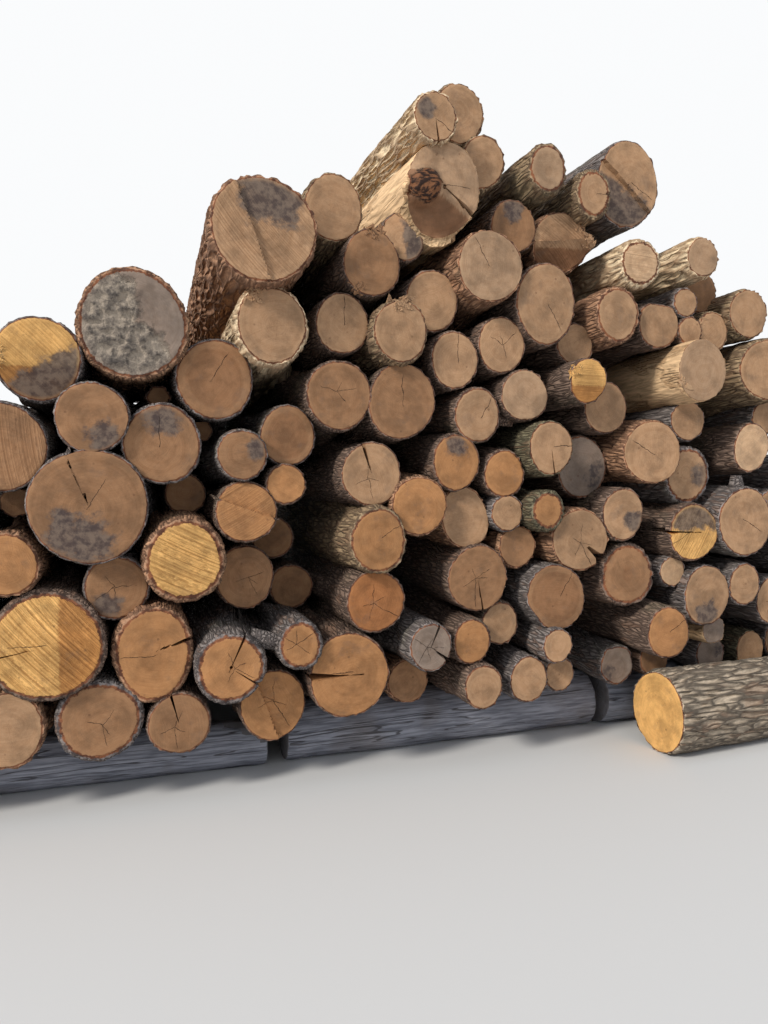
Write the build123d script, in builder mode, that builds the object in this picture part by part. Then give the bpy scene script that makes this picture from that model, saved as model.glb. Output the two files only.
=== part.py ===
from build123d import *
import math
import os

import numpy as np

# A heap of sawn logs, one log deep, lying across two rows of bearer logs.
# X runs along the face of the heap, Y goes into it and Z is up; millimetres.

# Sizes that every log shares
LENGTH = 2440
LENGTH_SPREAD = 70
TAPER = 0.006
FACET = 56
TURN_SPREAD = math.radians(1.0)
SWELL = 0.018
RAGGED_BARK = 18

# Seating: how near two logs lie, and how far one may roll or dip to find its bed
CLEARANCE = 0.8
ROLL = 150
ROLL_STEP = 2
LOOSE_COST = 25
ROLL_COST = 0.9
DIP = 0.04
DIP_STEPS = 81
DIP_COST = 1.0

# The height map that the logs are let down onto
GRID = 1.0
SLICE = 16.0
FINE_SLICE = 2.0
SIDE_ROOM = 400

# Bearers lie along the heap in a front and a rear row: left end, right end and
# the diameter at each end
BEARERS = {
    "left": (-1330, 1260, 300, 250),
    "middle": (1370, 3290, 320, 340),
    "right": (3370, 5790, 345, 320),
}
BEARER_SET_BACK = 300
BEARER_REAR_INSET = 420
BEARER_BEND = math.radians(1.0)

# The log at the foot of the heap, beside the right front bearer
FOOT_LOG_START = 3410
FOOT_LOG_BUTT = 460
FOOT_LOG_TIP = 430
FOOT_LOG_TURN = math.radians(5.0)

# Forms of single logs, as the felling cuts, splits and growth left them. Directions
# are degrees from the right, counter-clockwise as seen from the front, and shares are
# of the log's radius.
#   lean: the turn of the oval                  tips: (direction, height)
#   flats: (direction, share)                   steps: (direction, share, depth)
#   bevels: (direction, share, slope)           splits: (direction, share, width)
#   stubs: (direction, distance behind the end, radius)
TIP_KEENNESS = 6
SPLIT_DEPTH = 160
STUB_SIDES = 8

# Where a cut in the front end leaves a log nothing to lie on: the least share of its
# direction that points up or down, and the share of a bevel that is clear
FACING = 0.5
BEVEL_OPEN = 0.8

FORMS = {
    "plain": {},
    "felled": {"steps": [(95, 0.0, 60)], "bevels": [(-100, -0.15, 38)]},
    "notched": {"bevels": [(-105, 0.2, 40)], "splits": [(-35, -0.3, 14)]},
    "wedge": {"flats": [(45, 0.5)], "bevels": [(165, -0.1, 26)]},
    "stepped_left": {"steps": [(-130, 0.05, 30)]},
    "stepped_right": {"steps": [(20, -0.2, 22)]},
    "stepped_top": {"steps": [(70, 0.1, 26)]},
    "two_planes": {"bevels": [(-95, 0.1, 18)]},
    "top_plane": {"bevels": [(75, 0.3, 24)], "splits": [(-170, 0.2, 10)]},
    "oblique_left": {"bevels": [(170, -1.1, 7)]},
    "oblique_right": {"bevels": [(10, -1.1, 7)]},
    "oblique_down": {"bevels": [(-90, -1.1, 8)]},
    "teardrop": {"tips": [(-95, 0.16)]},
    "teardrop_split": {"tips": [(-95, 0.16)], "splits": [(15, 0.0, 9)]},
    "lean_left": {"lean": -20},
    "lean_right": {"lean": 20},
    "squared": {"flats": [(5, 0.84), (95, 0.84), (185, 0.84), (275, 0.84)]},
    "flat_top": {"flats": [(85, 0.76)]},
    "cornered": {"flats": [(20, 0.88), (92, 0.88), (164, 0.88), (236, 0.88), (308, 0.88)]},
    "two_lobed": {"tips": [(-40, 0.1), (110, 0.06)], "flats": [(-140, 0.86)]},
    "wedge_missing": {"tips": [(10, 0.07), (150, 0.05)], "splits": [(-38, 0.35, 60)]},
    "split_down": {"splits": [(-80, 0.1, 12)]},
    "split_level": {"splits": [(178, -0.5, 10)]},
    "split_cross": {"splits": [(65, -0.2, 12), (-35, 0.1, 10)]},
    "split_up": {"splits": [(105, 0.0, 12)]},
    "stub_left": {"stubs": [(172, 70, 34)]},
    "stub_right": {"stubs": [(-5, 80, 30)]},
    "stub_top": {"stubs": [(95, 60, 30)], "tips": [(150, 0.05)]},
}

# Every log end in the face of the heap: across, height, width, depth from top to
# bottom, how far the end is set back, and its form where it isn't plain
COURSES = [
    [
        (-1080, 400, 300, 310, 20),
        (-730, 400, 320, 320, -40),
        (-350, 400, 340, 330, 30),
        (40, 400, 330, 360, 0),
        (410, 400, 390, 380, 0),
        (790, 360, 300, 300, 0, "split_up"),
        (1240, 420, 340, 360, 60, "stepped_right"),
        (1630, 560, 420, 440, 0, "split_level"),
        (2010, 450, 240, 250, 180),
        (2350, 450, 230, 250, -60),
        (2650, 450, 240, 270, 0),
        (2890, 440, 200, 210, 80),
        (3330, 440, 240, 280, 150, "cornered"),
        (3620, 440, 210, 240, 200),
        (4020, 450, 220, 240, 180),
        (4350, 450, 220, 250, 200),
        (4670, 480, 320, 330, 250),
        (5010, 480, 300, 310, 300),
        (5350, 470, 320, 310, 320),
        (5640, 450, 280, 290, 300),
    ],
    [
        (-900, 660, 290, 300, -30),
        (-560, 700, 330, 340, 40),
        (-220, 740, 330, 320, -10),
        (190, 760, 500, 500, -40, "top_plane"),
        (670, 680, 360, 440, 0, "teardrop_split"),
        (1030, 640, 340, 350, -60, "split_cross"),
        (1400, 740, 230, 260, -40, "stub_left"),
        (2050, 680, 240, 260, -60, "split_cross"),
        (2300, 690, 220, 260, -20),
        (2460, 760, 230, 250, 60),
        (2810, 640, 190, 200, -60),
        (3500, 670, 290, 310, -80, "lean_right"),
        (3850, 630, 180, 180, 60, "squared"),
        (4400, 790, 300, 310, 60),
        (4760, 770, 330, 330, -20),
        (5120, 760, 300, 300, 40),
    ],
    [
        (-730, 930, 300, 290, 30),
        (-390, 1010, 330, 330, -20),
        (510, 950, 300, 310, 60),
        (850, 1110, 380, 400, -60, "oblique_right"),
        (1130, 1060, 300, 330, 180),
        (1770, 930, 320, 330, 0),
        (2350, 1020, 350, 360, 20, "split_down"),
        (2800, 890, 360, 360, -20, "two_lobed"),
        (3290, 1000, 340, 370, 0, "oblique_left"),
        (3720, 1000, 190, 190, 60),
        (3830, 890, 330, 370, 0),
        (4090, 910, 240, 270, 0),
        (4600, 1090, 330, 320, 30),
        (4950, 1060, 300, 290, -40),
    ],
    [
        (-560, 1230, 300, 310, 50),
        (-230, 1300, 310, 300, 20),
        (60, 1180, 280, 290, 0),
        (410, 1340, 520, 520, -40, "split_up"),
        (1120, 1400, 310, 300, 0, "stepped_top"),
        (1760, 1250, 310, 340, -100, "oblique_right"),
        (2060, 1370, 310, 310, -20),
        (2290, 1270, 270, 350, 60, "lean_right"),
        (2460, 1300, 200, 210, 20),
        (2610, 1180, 230, 240, 60),
        (2960, 1210, 350, 350, 0, "wedge_missing"),
        (3240, 1350, 280, 310, 0),
        (3710, 1220, 350, 340, -20, "split_level"),
        (3980, 1290, 390, 420, -40, "stub_top"),
        (4290, 1330, 290, 300, 60),
        (4790, 1380, 310, 310, 20),
    ],
    [
        (-350, 1570, 290, 300, -30),
        (140, 1700, 380, 400, 0),
        (770, 1690, 360, 380, 0),
        (1100, 1680, 250, 250, 0),
        (1420, 1530, 210, 210, 40),
        (1780, 1580, 320, 330, 0, "split_up"),
        (2190, 1640, 270, 310, 0),
        (2500, 1580, 250, 270, 20),
        (2740, 1400, 230, 230, -60, "oblique_right"),
        (3080, 1600, 330, 370, 180),
        (3410, 1700, 360, 360, -40, "oblique_left"),
        (3720, 1570, 330, 350, 60),
        (4550, 1660, 300, 310, -20),
    ],
    [
        (-130, 1870, 270, 270, 30),
        (470, 1800, 320, 320, -40),
        (1330, 1770, 280, 310, 80),
        (1580, 1970, 340, 350, 0),
        (1910, 1950, 360, 400, 0, "lean_left"),
        (2330, 1880, 270, 300, 0, "stub_right"),
        (2750, 1720, 270, 300, -80, "split_down"),
        (3140, 1950, 280, 300, 40),
        (3700, 1890, 250, 240, 60),
        (4130, 1840, 260, 310, 0, "lean_left"),
        (4360, 2000, 220, 220, 80),
    ],
    [
        (210, 2090, 370, 380, 0, "two_planes"),
        (610, 2200, 490, 500, -60, "oblique_down"),
        (980, 2030, 370, 390, 40),
        (2200, 2170, 270, 310, 0),
        (2610, 2000, 290, 280, 0),
        (2970, 2080, 230, 250, -100, "two_planes"),
        (3660, 2110, 320, 350, -120),
        (4190, 2240, 390, 370, -80, "oblique_left"),
    ],
    [
        (1250, 2290, 350, 380, -60, "oblique_right"),
        (1600, 2330, 280, 310, 40),
        (1870, 2320, 290, 320, -60),
        (2460, 2270, 280, 310, 20),
        (2950, 2290, 240, 240, 60),
        (3120, 2450, 280, 310, -60),
        (3430, 2430, 280, 290, 0, "flat_top"),
        (3670, 2370, 180, 180, 0),
        (3870, 2390, 220, 250, 20),
    ],
    [
        (1750, 2630, 300, 340, 0),
        (2020, 2480, 300, 330, 60),
        (2290, 2650, 370, 370, -60),
        (2670, 2500, 360, 420, -20, "teardrop"),
        (3650, 2560, 180, 180, 0),
        (3870, 2670, 240, 260, 160),
        (4050, 2520, 280, 290, -20),
    ],
    [
        (1190, 2730, 500, 490, -150, "stepped_right"),
        (1570, 2900, 300, 340, 60),
        (1920, 2800, 230, 270, 60, "wedge"),
        (2490, 2880, 270, 290, 40),
        (2850, 2850, 340, 330, 0, "felled"),
        (3260, 2740, 270, 260, -60),
        (3680, 2800, 220, 230, -80),
    ],
    [
        (2070, 3010, 380, 460, -80, "notched"),
        (2400, 3210, 250, 300, 40, "lean_left"),
        (2710, 3190, 230, 270, -40),
        (2990, 3150, 220, 270, -40),
        (3260, 3200, 380, 480, 40, "stepped_left"),
    ],
    [
        (2040, 3320, 230, 250, -120, "split_down"),
        (2260, 3420, 270, 320, 60),
    ],
]

# Thin, shorter logs that fill gaps behind the face, written like the others
GAP_LOG_LENGTH = 1900
GAP_LOGS = [
    (90, 1450, 150, 150, 220),
    (720, 1950, 130, 130, 260),
    (850, 1420, 210, 210, 280),
    (960, 1800, 120, 120, 300),
    (1420, 1000, 250, 250, 450),
    (1370, 1230, 240, 240, 480),
]


class Stick:
    """One straight log between two upright outlines that are alike in shape."""

    def __init__(self, start, end, radius, end_radius, flatness=0.0, phase=0.0, form="plain"):
        self.start = np.array(start, float)
        self.end = np.array(end, float)
        self.radii = (radius, end_radius)
        self.sides = round(2 * math.pi * radius / FACET)
        self.flatness = flatness
        self.phase = phase
        self.form = FORMS[form]

    def outline(self, radius):
        """Points round the log as (sideways, up): oval, swollen, tipped or flattened."""
        points = []
        for side in range(self.sides):
            angle = 2 * math.pi * side / self.sides
            oval = self.flatness * math.cos(2 * (angle - math.radians(self.form.get("lean", 0))))
            swell = SWELL * math.cos(3 * angle + self.phase)
            reach = radius * (1 + oval + swell)
            for toward, height in self.form.get("tips", ()):
                reach += radius * height * max(0, math.cos(angle - math.radians(toward))) ** TIP_KEENNESS
            for toward, share in self.form.get("flats", ()):
                facing = math.cos(angle - math.radians(toward))
                reach = min(reach, share * radius / max(facing, share / 2))
            points.append((reach * math.cos(angle), reach * math.sin(angle)))
        return points

    def cut_back(self, side):
        """How far the top (side 1) or the underside (side -1) is cut away at the front."""
        reach = 0
        for toward, _, depth in self.form.get("steps", ()):
            if side * math.sin(math.radians(toward)) > FACING:
                reach = max(reach, depth)
        for toward, share, slope in self.form.get("bevels", ()):
            if side * math.sin(math.radians(toward)) > FACING:
                depth = (1 - share) * self.radii[0] * math.tan(math.radians(slope))
                reach = max(reach, BEVEL_OPEN * depth)
        return reach

    def move(self, x=0.0, y=0.0, z=0.0, end_z=0.0):
        self.start += (x, y, z)
        self.end += (x, y, z + end_z)


class AcrossLog(Stick):
    """A log of the heap: its ends face the front and the back."""

    def planes(self):
        for centre in (self.start, self.end):
            yield Plane(origin=tuple(centre), x_dir=(1, 0, 0), z_dir=(0, -1, 0))

    def corners(self, margin=0.0):
        """Corners of the front and the back outline, as two arrays of x, y, z."""
        rings = []
        for centre, radius in zip((self.start, self.end), self.radii):
            flat = np.array(self.outline(radius + margin))
            rings.append(centre + np.column_stack([flat[:, 0], 0 * flat[:, 0], flat[:, 1]]))
        return rings


class AlongLog(Stick):
    """A bearer: its ends face left and right."""

    def planes(self):
        for centre in (self.start, self.end):
            yield Plane(origin=tuple(centre), x_dir=(0, 1, 0), z_dir=(1, 0, 0))

    def corners(self, margin=0.0):
        rings = []
        for centre, radius in zip((self.start, self.end), self.radii):
            flat = np.array(self.outline(radius + margin))
            rings.append(centre + np.column_stack([0 * flat[:, 0], flat[:, 0], flat[:, 1]]))
        return rings


def spread(index, salt=0.0):
    """An even, repeatable scatter between -1 and 1."""
    golden = 0.6180339887
    return 2 * ((index * golden + salt) % 1.0) - 1


def surface(rings, along, across, up, stations, places, sense):
    """The top (sense 1) or underside (sense -1) of a log over a grid.

    Rows are stations on the log's own way and columns are places across it.
    Off the log the value is not a number.
    """
    first, last = rings
    share = (stations - first[0, along]) / (last[0, along] - first[0, along])
    inside = (share >= 0) & (share <= 1)
    share = share[:, None]
    side = first[None, :, across] * (1 - share) + last[None, :, across] * share
    rise = first[None, :, up] * (1 - share) + last[None, :, up] * share
    result = np.full((len(stations), len(places)), -np.inf)
    for corner in range(len(first)):
        following = (corner + 1) % len(first)
        a, b = side[:, corner, None], side[:, following, None]
        za, zb = rise[:, corner, None], rise[:, following, None]
        if (a[0, 0] > b[0, 0]) != (sense > 0):
            continue
        t = (places[None, :] - a) / (b - a)
        line = np.where((t >= 0) & (t <= 1), sense * (za + (zb - za) * t), -np.inf)
        result = np.maximum(result, line)
    result[~inside] = -np.inf
    return result


def make_bearers():
    """Front and rear rows of bearers, each resting on the ground."""
    rows = {}
    for row, depth in (("front", BEARER_SET_BACK), ("rear", LENGTH - BEARER_REAR_INSET)):
        for place, (left, right, left_dia, right_dia) in BEARERS.items():
            number = len(rows)
            log = AlongLog(
                (left, depth + left_dia / 2, 0),
                (right, depth + left_dia / 2, 0),
                left_dia / 2,
                right_dia / 2,
                phase=1.7 * number,
            )
            log.end[1] += (right - left) * math.tan(BEARER_BEND * spread(number, 0.3))
            for centre, ring in zip((log.start, log.end), log.corners()):
                centre[2] = -ring[:, 2].min()
            rows[f"{row}_bearer_{place}"] = log
    return rows


def make_foot_log(bearer):
    """The log in front of the heap, pushed back until it meets its bearer."""
    length = LENGTH
    log = AlongLog(
        (FOOT_LOG_START, 0, 0),
        (FOOT_LOG_START + length, length * math.tan(FOOT_LOG_TURN), 0),
        FOOT_LOG_BUTT / 2,
        FOOT_LOG_TIP / 2,
    )
    for centre, ring in zip((log.start, log.end), log.corners()):
        centre[2] = -ring[:, 2].min()
    stations = np.arange(bearer.start[0], log.end[0], SLICE)
    heights = np.arange(0, FOOT_LOG_BUTT, GRID)
    back = surface(turned(log.corners()), 0, 2, 1, stations, heights, 1)
    front = surface(turned(bearer.corners()), 0, 2, 1, stations, heights, -1)
    log.move(y=-(back + front).max() - CLEARANCE)
    return log


def turned(rings):
    """The same corners in the other order round, for a look along X."""
    return [ring[::-1] for ring in rings]


def make_heap_logs(courses_measured, common_length):
    """Every log of some courses where it would lie before it is let down."""
    courses = []
    number = 0
    for course in courses_measured:
        logs = []
        for across, height, width, tall, set_back, *form in course:
            number += 1
            length = common_length + LENGTH_SPREAD * spread(number, 0.2)
            radius = (width + tall) / 4 - RAGGED_BARK / 2
            taper = TAPER * length / 2 * (1 if number % 2 else -1)
            sideways = length * math.tan(TURN_SPREAD * spread(number, 0.7))
            logs.append(
                AcrossLog(
                    (across, set_back, height),
                    (across + sideways, set_back + length, height),
                    radius,
                    radius - taper,
                    flatness=(width - tall) / (width + tall),
                    phase=2.4 * number,
                    form=form[0] if form else "plain",
                )
            )
        courses.append(logs)
    return courses


class HeightMap:
    """The top of everything laid so far, over a grid of places and stations."""

    def __init__(self, laid, to_come):
        rings = [ring for log in laid + to_come for ring in log.corners()]
        low = np.min([ring.min(axis=0) for ring in rings], axis=0)
        high = np.max([ring.max(axis=0) for ring in rings], axis=0)
        self.left = math.floor(low[0]) - SIDE_ROOM
        self.places = np.arange(self.left, high[0] + SIDE_ROOM, GRID)
        self.stations = self.make_stations(laid, low[1], high[1])
        self.top = np.zeros((len(self.stations), len(self.places)))
        for log in laid:
            self.add_bearer(log)

    def make_stations(self, laid, front, back):
        """Even stations through the heap, with finer ones over each bearer's ridge."""
        runs = [np.arange(front, back + SLICE, SLICE)]
        for log in laid:
            ridge = [log.start[1], log.end[1]]
            runs.append(np.arange(min(ridge) - SLICE, max(ridge) + SLICE, FINE_SLICE))
        return np.unique(np.concatenate(runs))

    def add_bearer(self, log):
        rings = log.corners(CLEARANCE / 2)
        top = surface(rings, 0, 1, 2, self.places, self.stations, 1)
        self.top = np.maximum(self.top, top.T)

    def window(self, log, shift=0):
        rings = log.corners()
        low = min(ring[:, 0].min() for ring in rings) + shift
        high = max(ring[:, 0].max() for ring in rings) + shift
        first = math.ceil((low - self.left) / GRID)
        last = math.floor((high - self.left) / GRID) + 1
        return slice(first, last)

    def rises(self, log, under, window, steps, dips):
        """How far a log rises at each dip once it is rolled some steps across."""
        moved = slice(window.start + steps, window.stop + steps)
        need = (self.top[:, moved] + under).max(axis=1)
        held = np.isfinite(need)
        reach = self.stations[held] - (log.start[1] + log.end[1]) / 2
        return (need[held] - dips[:, None] * reach).max(axis=1)

    @staticmethod
    def cheapest_dip(rises, dips, length):
        """The dip that leaves the front end near its own height and the log low."""
        costs = abs(rises - dips * length / 2) + DIP_COST * (rises - rises.min())
        choice = costs.argmin()
        return costs[choice], rises[choice], dips[choice]

    @staticmethod
    def best_bed(beds):
        """The cheapest bed, where one that the log can roll out of costs more."""
        heights = [math.inf] + [height for height, _, _ in beds] + [math.inf]
        priced = []
        for place, (height, cost, bed) in enumerate(beds):
            loose = height > heights[place] or height > heights[place + 2]
            priced.append((cost + LOOSE_COST * loose, bed))
        return min(priced)[1]

    def lay(self, log):
        """Let a log down at the roll and dip that bring it nearest its own place."""
        window = self.window(log)
        rings = log.corners(CLEARANCE / 2)
        under = surface(rings, 1, 0, 2, self.stations, self.places[window], -1)
        under[self.stations < log.start[1] + log.cut_back(-1)] = -np.inf
        length = log.end[1] - log.start[1]
        dips = np.linspace(-DIP, DIP, DIP_STEPS)
        beds = []
        for roll in range(-ROLL, ROLL + 1, ROLL_STEP):
            steps = round(roll / GRID)
            rises = self.rises(log, under, window, steps, dips)
            cost, _, dip = self.cheapest_dip(rises, dips, length)
            beds.append((rises.min(), cost + ROLL_COST * abs(roll), (steps, dip)))
        steps, dip = self.best_bed(beds)
        dips = np.linspace(dip - 2 * DIP / DIP_STEPS, dip + 2 * DIP / DIP_STEPS, DIP_STEPS)
        rises = self.rises(log, under, window, steps, dips)
        _, rise, dip = self.cheapest_dip(rises, dips, length)
        log.move(x=steps * GRID, z=rise - dip * length / 2, end_z=dip * length)
        window = self.window(log)
        rings = log.corners(CLEARANCE / 2)
        top = surface(rings, 1, 0, 2, self.stations, self.places[window], 1)
        top[self.stations < log.start[1] + log.cut_back(1)] = -np.inf
        self.top[:, window] = np.maximum(self.top[:, window], top)


def centre_on_origin(sticks):
    """Bring the middle of the whole heap's footprint to the origin."""
    rings = [ring for stick in sticks for ring in stick.corners()]
    low = np.min([ring.min(axis=0) for ring in rings], axis=0)
    high = np.max([ring.max(axis=0) for ring in rings], axis=0)
    middle = (low + high) / 2
    for stick in sticks:
        stick.move(x=-middle[0], y=-middle[1], z=-low[2])


def front_plane(stick, toward):
    """A plane through the front end's middle that holds the axis and one direction."""
    angle = math.radians(toward)
    return Plane(
        origin=tuple(stick.start),
        x_dir=(math.cos(angle), 0, math.sin(angle)),
        z_dir=(math.sin(angle), 0, -math.cos(angle)),
    )


def cut_step(stick, toward, share, depth):
    """Sets back the part of the front end that lies past a line, with a square ledge."""
    radius = stick.radii[0]
    with BuildSketch(front_plane(stick, toward)) as waste:
        Polygon(
            (share * radius, -depth),
            (2 * radius, -depth),
            (2 * radius, radius),
            (share * radius, radius),
            align=None,
        )
    extrude(waste.sketch, amount=2 * radius, both=True, mode=Mode.SUBTRACT)


def cut_bevel(stick, toward, share, slope):
    """Slants the front end back from a line, as one face of a felling notch does."""
    radius = stick.radii[0]
    fall = (2 - share) * radius * math.tan(math.radians(slope))
    with BuildSketch(front_plane(stick, toward)) as waste:
        Polygon(
            (share * radius, 0),
            (2 * radius, -fall),
            (2 * radius, radius),
            (share * radius, radius),
            align=None,
        )
    extrude(waste.sketch, amount=2 * radius, both=True, mode=Mode.SUBTRACT)


def cut_split(stick, toward, share, width):
    """Opens a drying split from a share of the radius out to the bark."""
    radius = stick.radii[0]
    angle = math.radians(toward)
    end = Plane(origin=tuple(stick.start), x_dir=(math.cos(angle), 0, math.sin(angle)), z_dir=(0, -1, 0))
    with BuildSketch(end) as waste:
        Polygon(
            (share * radius, 0),
            (2 * radius, -width),
            (2 * radius, width),
            align=None,
        )
    extrude(waste.sketch, amount=-SPLIT_DEPTH, mode=Mode.SUBTRACT)


def add_stub(stick, toward, behind, radius):
    """A sawn-off branch: a short eight-sided stub on the bark near the front end."""
    angle = math.radians(toward)
    root = stick.start + np.array([0, behind, 0])
    outward = (math.cos(angle), 0, math.sin(angle))
    with BuildSketch(Plane(origin=tuple(root), x_dir=(0, 1, 0), z_dir=outward)) as branch:
        RegularPolygon(radius, STUB_SIDES)
    extrude(branch.sketch, amount=stick.radii[0] + radius)


SHAPERS = {"steps": cut_step, "bevels": cut_bevel, "splits": cut_split, "stubs": add_stub}


def log_solid(stick):
    """A log as a straight loft between its two end outlines, then cut at its front end."""
    with BuildPart() as log:
        for plane, radius in zip(stick.planes(), stick.radii):
            with BuildSketch(plane):
                Polygon(*stick.outline(radius), align=None)
        loft(ruled=True)
        for kind, shaper in SHAPERS.items():
            for measures in stick.form.get(kind, ()):
                shaper(stick, *measures)
    return log.part


def write_node(name, sticks):
    solids = [log_solid(stick) for stick in sticks]
    with BuildPart() as node:
        for solid in solids:
            add(solid)
    node.part.label = name
    export_step(node.part, f"parts/{name}.step")


bearers = make_bearers()
foot_log = make_foot_log(bearers["front_bearer_right"])
courses = make_heap_logs(COURSES, LENGTH)
gap_logs = make_heap_logs([GAP_LOGS], GAP_LOG_LENGTH)[0]
heap_logs = [log for course in courses + [gap_logs] for log in course]

heap = HeightMap(list(bearers.values()) + [foot_log], heap_logs)
for log in sorted(heap_logs, key=lambda log: log.start[2]):
    heap.lay(log)

centre_on_origin(list(bearers.values()) + [foot_log] + heap_logs)

os.makedirs("parts", exist_ok=True)
for name, log in bearers.items():
    write_node(name, [log])
write_node("foot_log", [foot_log])
for number, logs in enumerate(courses, 1):
    write_node(f"course_{number:02d}_logs_a", logs[0::2])
    write_node(f"course_{number:02d}_logs_b", logs[1::2])
write_node("gap_logs_a", gap_logs[0::2])
write_node("gap_logs_b", gap_logs[1::2])
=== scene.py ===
import math

import bmesh
import bpy
import numpy as np
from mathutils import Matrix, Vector
from mathutils.bvhtree import BVHTree


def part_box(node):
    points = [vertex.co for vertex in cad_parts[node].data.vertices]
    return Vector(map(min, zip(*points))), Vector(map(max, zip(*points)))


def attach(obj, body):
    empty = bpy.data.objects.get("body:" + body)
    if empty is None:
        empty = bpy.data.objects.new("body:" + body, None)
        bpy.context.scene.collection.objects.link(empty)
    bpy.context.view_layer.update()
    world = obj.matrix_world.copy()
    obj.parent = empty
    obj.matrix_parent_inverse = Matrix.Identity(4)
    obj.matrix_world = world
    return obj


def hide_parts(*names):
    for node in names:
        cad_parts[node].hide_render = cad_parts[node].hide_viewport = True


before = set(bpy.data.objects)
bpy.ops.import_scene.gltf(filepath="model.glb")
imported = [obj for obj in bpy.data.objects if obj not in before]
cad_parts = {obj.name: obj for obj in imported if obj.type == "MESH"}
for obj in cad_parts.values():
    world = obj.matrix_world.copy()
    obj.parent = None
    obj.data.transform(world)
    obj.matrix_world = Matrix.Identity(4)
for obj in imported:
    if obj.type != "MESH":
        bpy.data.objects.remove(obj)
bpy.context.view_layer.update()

# How a log's axis is found: at what shares of its length, in how many rounds and with how
# many rays. Then from where and with how many rays a log is found to lie in the open
AXIS_SHARES = (0.2, 0.8)
AXIS_ROUNDS, AXIS_RAYS = 3, 24
OPEN_SHARES, OPEN_RAYS = (0.35, 0.6), 12

# How finely a log is skinned: the width of a strip round it, the fewest and most strips,
# and stations along it from each end
STRIP = 0.0138
FEWEST_STRIPS, MOST_STRIPS, BOLD_STRIPS = 46, 88, 124
NEAR_STATIONS = (
    0, 0.004, 0.010, 0.018, 0.028, 0.040, 0.054, 0.070, 0.090, 0.112, 0.136, 0.162, 0.19, 0.22,
    0.255, 0.29, 0.33, 0.38, 0.44, 0.52, 0.62, 0.75,
)
REAR_STATIONS = (0.3, 0.13, 0.05, 0.012, 0)
BOLD_STEP = 0.022
OPEN_STEP = 0.064
HIDDEN_STEP = 0.4
BACK_SHARES = (0.5, 0.92, 1.0)
DISC_SHARES = (0.25, 0.5, 0.74, 0.9, 1.0)
FINE_DISC_SHARES = tuple(n / 16 for n in range(1, 17))

# The least jump in a solid's surface that is kept sharp and how closely a rim is searched
# for jumps. Then turns in radians: of the corners beside a jump, of the widest split, of
# the search for its sides and for what lies outside it, and of the least room between
# two corners. Last, how often a search is halved
LEDGE = 0.008
SCAN = 192
BESIDE = 0.004
WIDEST_SPLIT = 0.4
SPLIT_SEARCH = 0.16
SPLIT_OUTSIDE = 0.02
CROWDED = 0.03
HALVINGS = 8

# How far from a jump in an end face its two sides lie
JUMP_SIDE = 0.0008

# How far along a log its girth is taken, and a radius for where no ray finds it. Then how
# far out its rim is looked at, and its end face at most, as shares of the radius
PROBE = 0.5
ANY_RADIUS = 0.1
RIM_SHARE = 0.9
FACE_SHARE = 0.97

# The most that the rim of a plain end, one straight cut, goes in and out
PLAIN_CUT = 0.02

# The least that a ring lies within the solid, so that its rays find the bark
WITHIN = 0.006

# Bark: thickness at a sawn end, how unevenly thick it is, how far its broken edge may lie
# behind the saw cut, and the share of its thickness that the edge is bevelled by. The
# material draws every bark as thick as BARK_SHOWN
BARK = 0.012
BARK_UNEVEN, BARK_WAVES = 0.3, 13
BARK_CHIP = 0.018
CHIP_LEVEL, CHIP_SPREAD, CHIP_WAVES = 0.3, 0.6, 31
BEVEL_SHARE = 0.3
BARK_SHOWN = 0.0135

# How far from an end its chips, its scallops, its bevel and its lesser relief reach
CHIP_REACH = 0.05
SCALLOP, SCALLOP_WAVES = 0.004, 37
SCALLOP_REACH = 0.03
BEVEL_REACH = 0.01
RELIEF_REACH = 0.05
RELIEF_AT_END = 0.3
END_REACH = 0.02

# How far from the bark the edge of a barkless log's end counts as lying
NO_BARK = 0.03

# How far the ragged bark stands proud of a heap log's solid, whose outline is the bark
# as pressed by its neighbours
BARK_SWELL = 0.010

# The unseen middles of the logs bulge into the gaps beside them, as crooked logs do, so
# that no light falls through the heap: from what depth and over what rise, across what
# gap, by what share of it and at most how far, from how far off the bark the gap is
# measured, and the height on the section above which a log in the open stays plain
BULGE_FROM = 0.3
BULGE_RISE = 0.3
WIDEST_GAP = 0.16
GAP_SHARE = 0.56
MOST_BULGE = 0.07
OFF_BARK = 0.002
OPEN_ABOVE = -0.2

# How much longer a sawn-off branch is than in the solid, which only marks its place, and
# where along a log such stubs are
STUB_LEAST = 0.012
STUB_GROWTH = 1.8
STUB_ZONE = (0.015, 0.2)

# Tones of the sawn wood, as they show in daylight (0 to 255)
WOOD_TONES = {
    "tan": (165, 131, 100),
    "ochre": (167, 121, 80),
    "gold": (206, 160, 98),
    "amber": (158, 106, 66),
    "pink": (164, 134, 106),
    "pale": (186, 154, 122),
    "brown": (144, 108, 78),
    "grey": (134, 118, 106),
    "silver": (116, 114, 118),
}

# Tones of the bark: its ridges and its furrows
BARK_TONES = {
    # Greyed bark: weathered grey, tinted bluer as painted shade
    "greyed": ((140, 131, 127), (70, 63, 62)),
    "umber": ((136, 114, 100), (66, 52, 46)),
    "mossy": ((130, 122, 98), (62, 54, 42)),
    "russet": ((182, 140, 110), (86, 60, 46)),
    "corky": ((166, 142, 112), (84, 66, 52)),
    "cream": ((238, 214, 178), (150, 120, 92)),
    "plated": ((184, 168, 148), (40, 34, 32)),
    "peeled": ((214, 180, 140), (184, 148, 110)),
}

# Marks on a sawn end, each as strength 0 to 1, and how strongly a ripped end is torn
END_MARKS = ("star", "torn", "muddy", "heart")
RIPPED = 2.4

# What the second plane of an end, such as a felling notch, keeps of the wood's tone, painted
# darker as shade, and how far out from the middle it starts as a share of the radius
NOTCH_PAINTED_SHADE = (0.66, 0.54, 0.48)
NOTCH_FROM = 0.2

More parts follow.
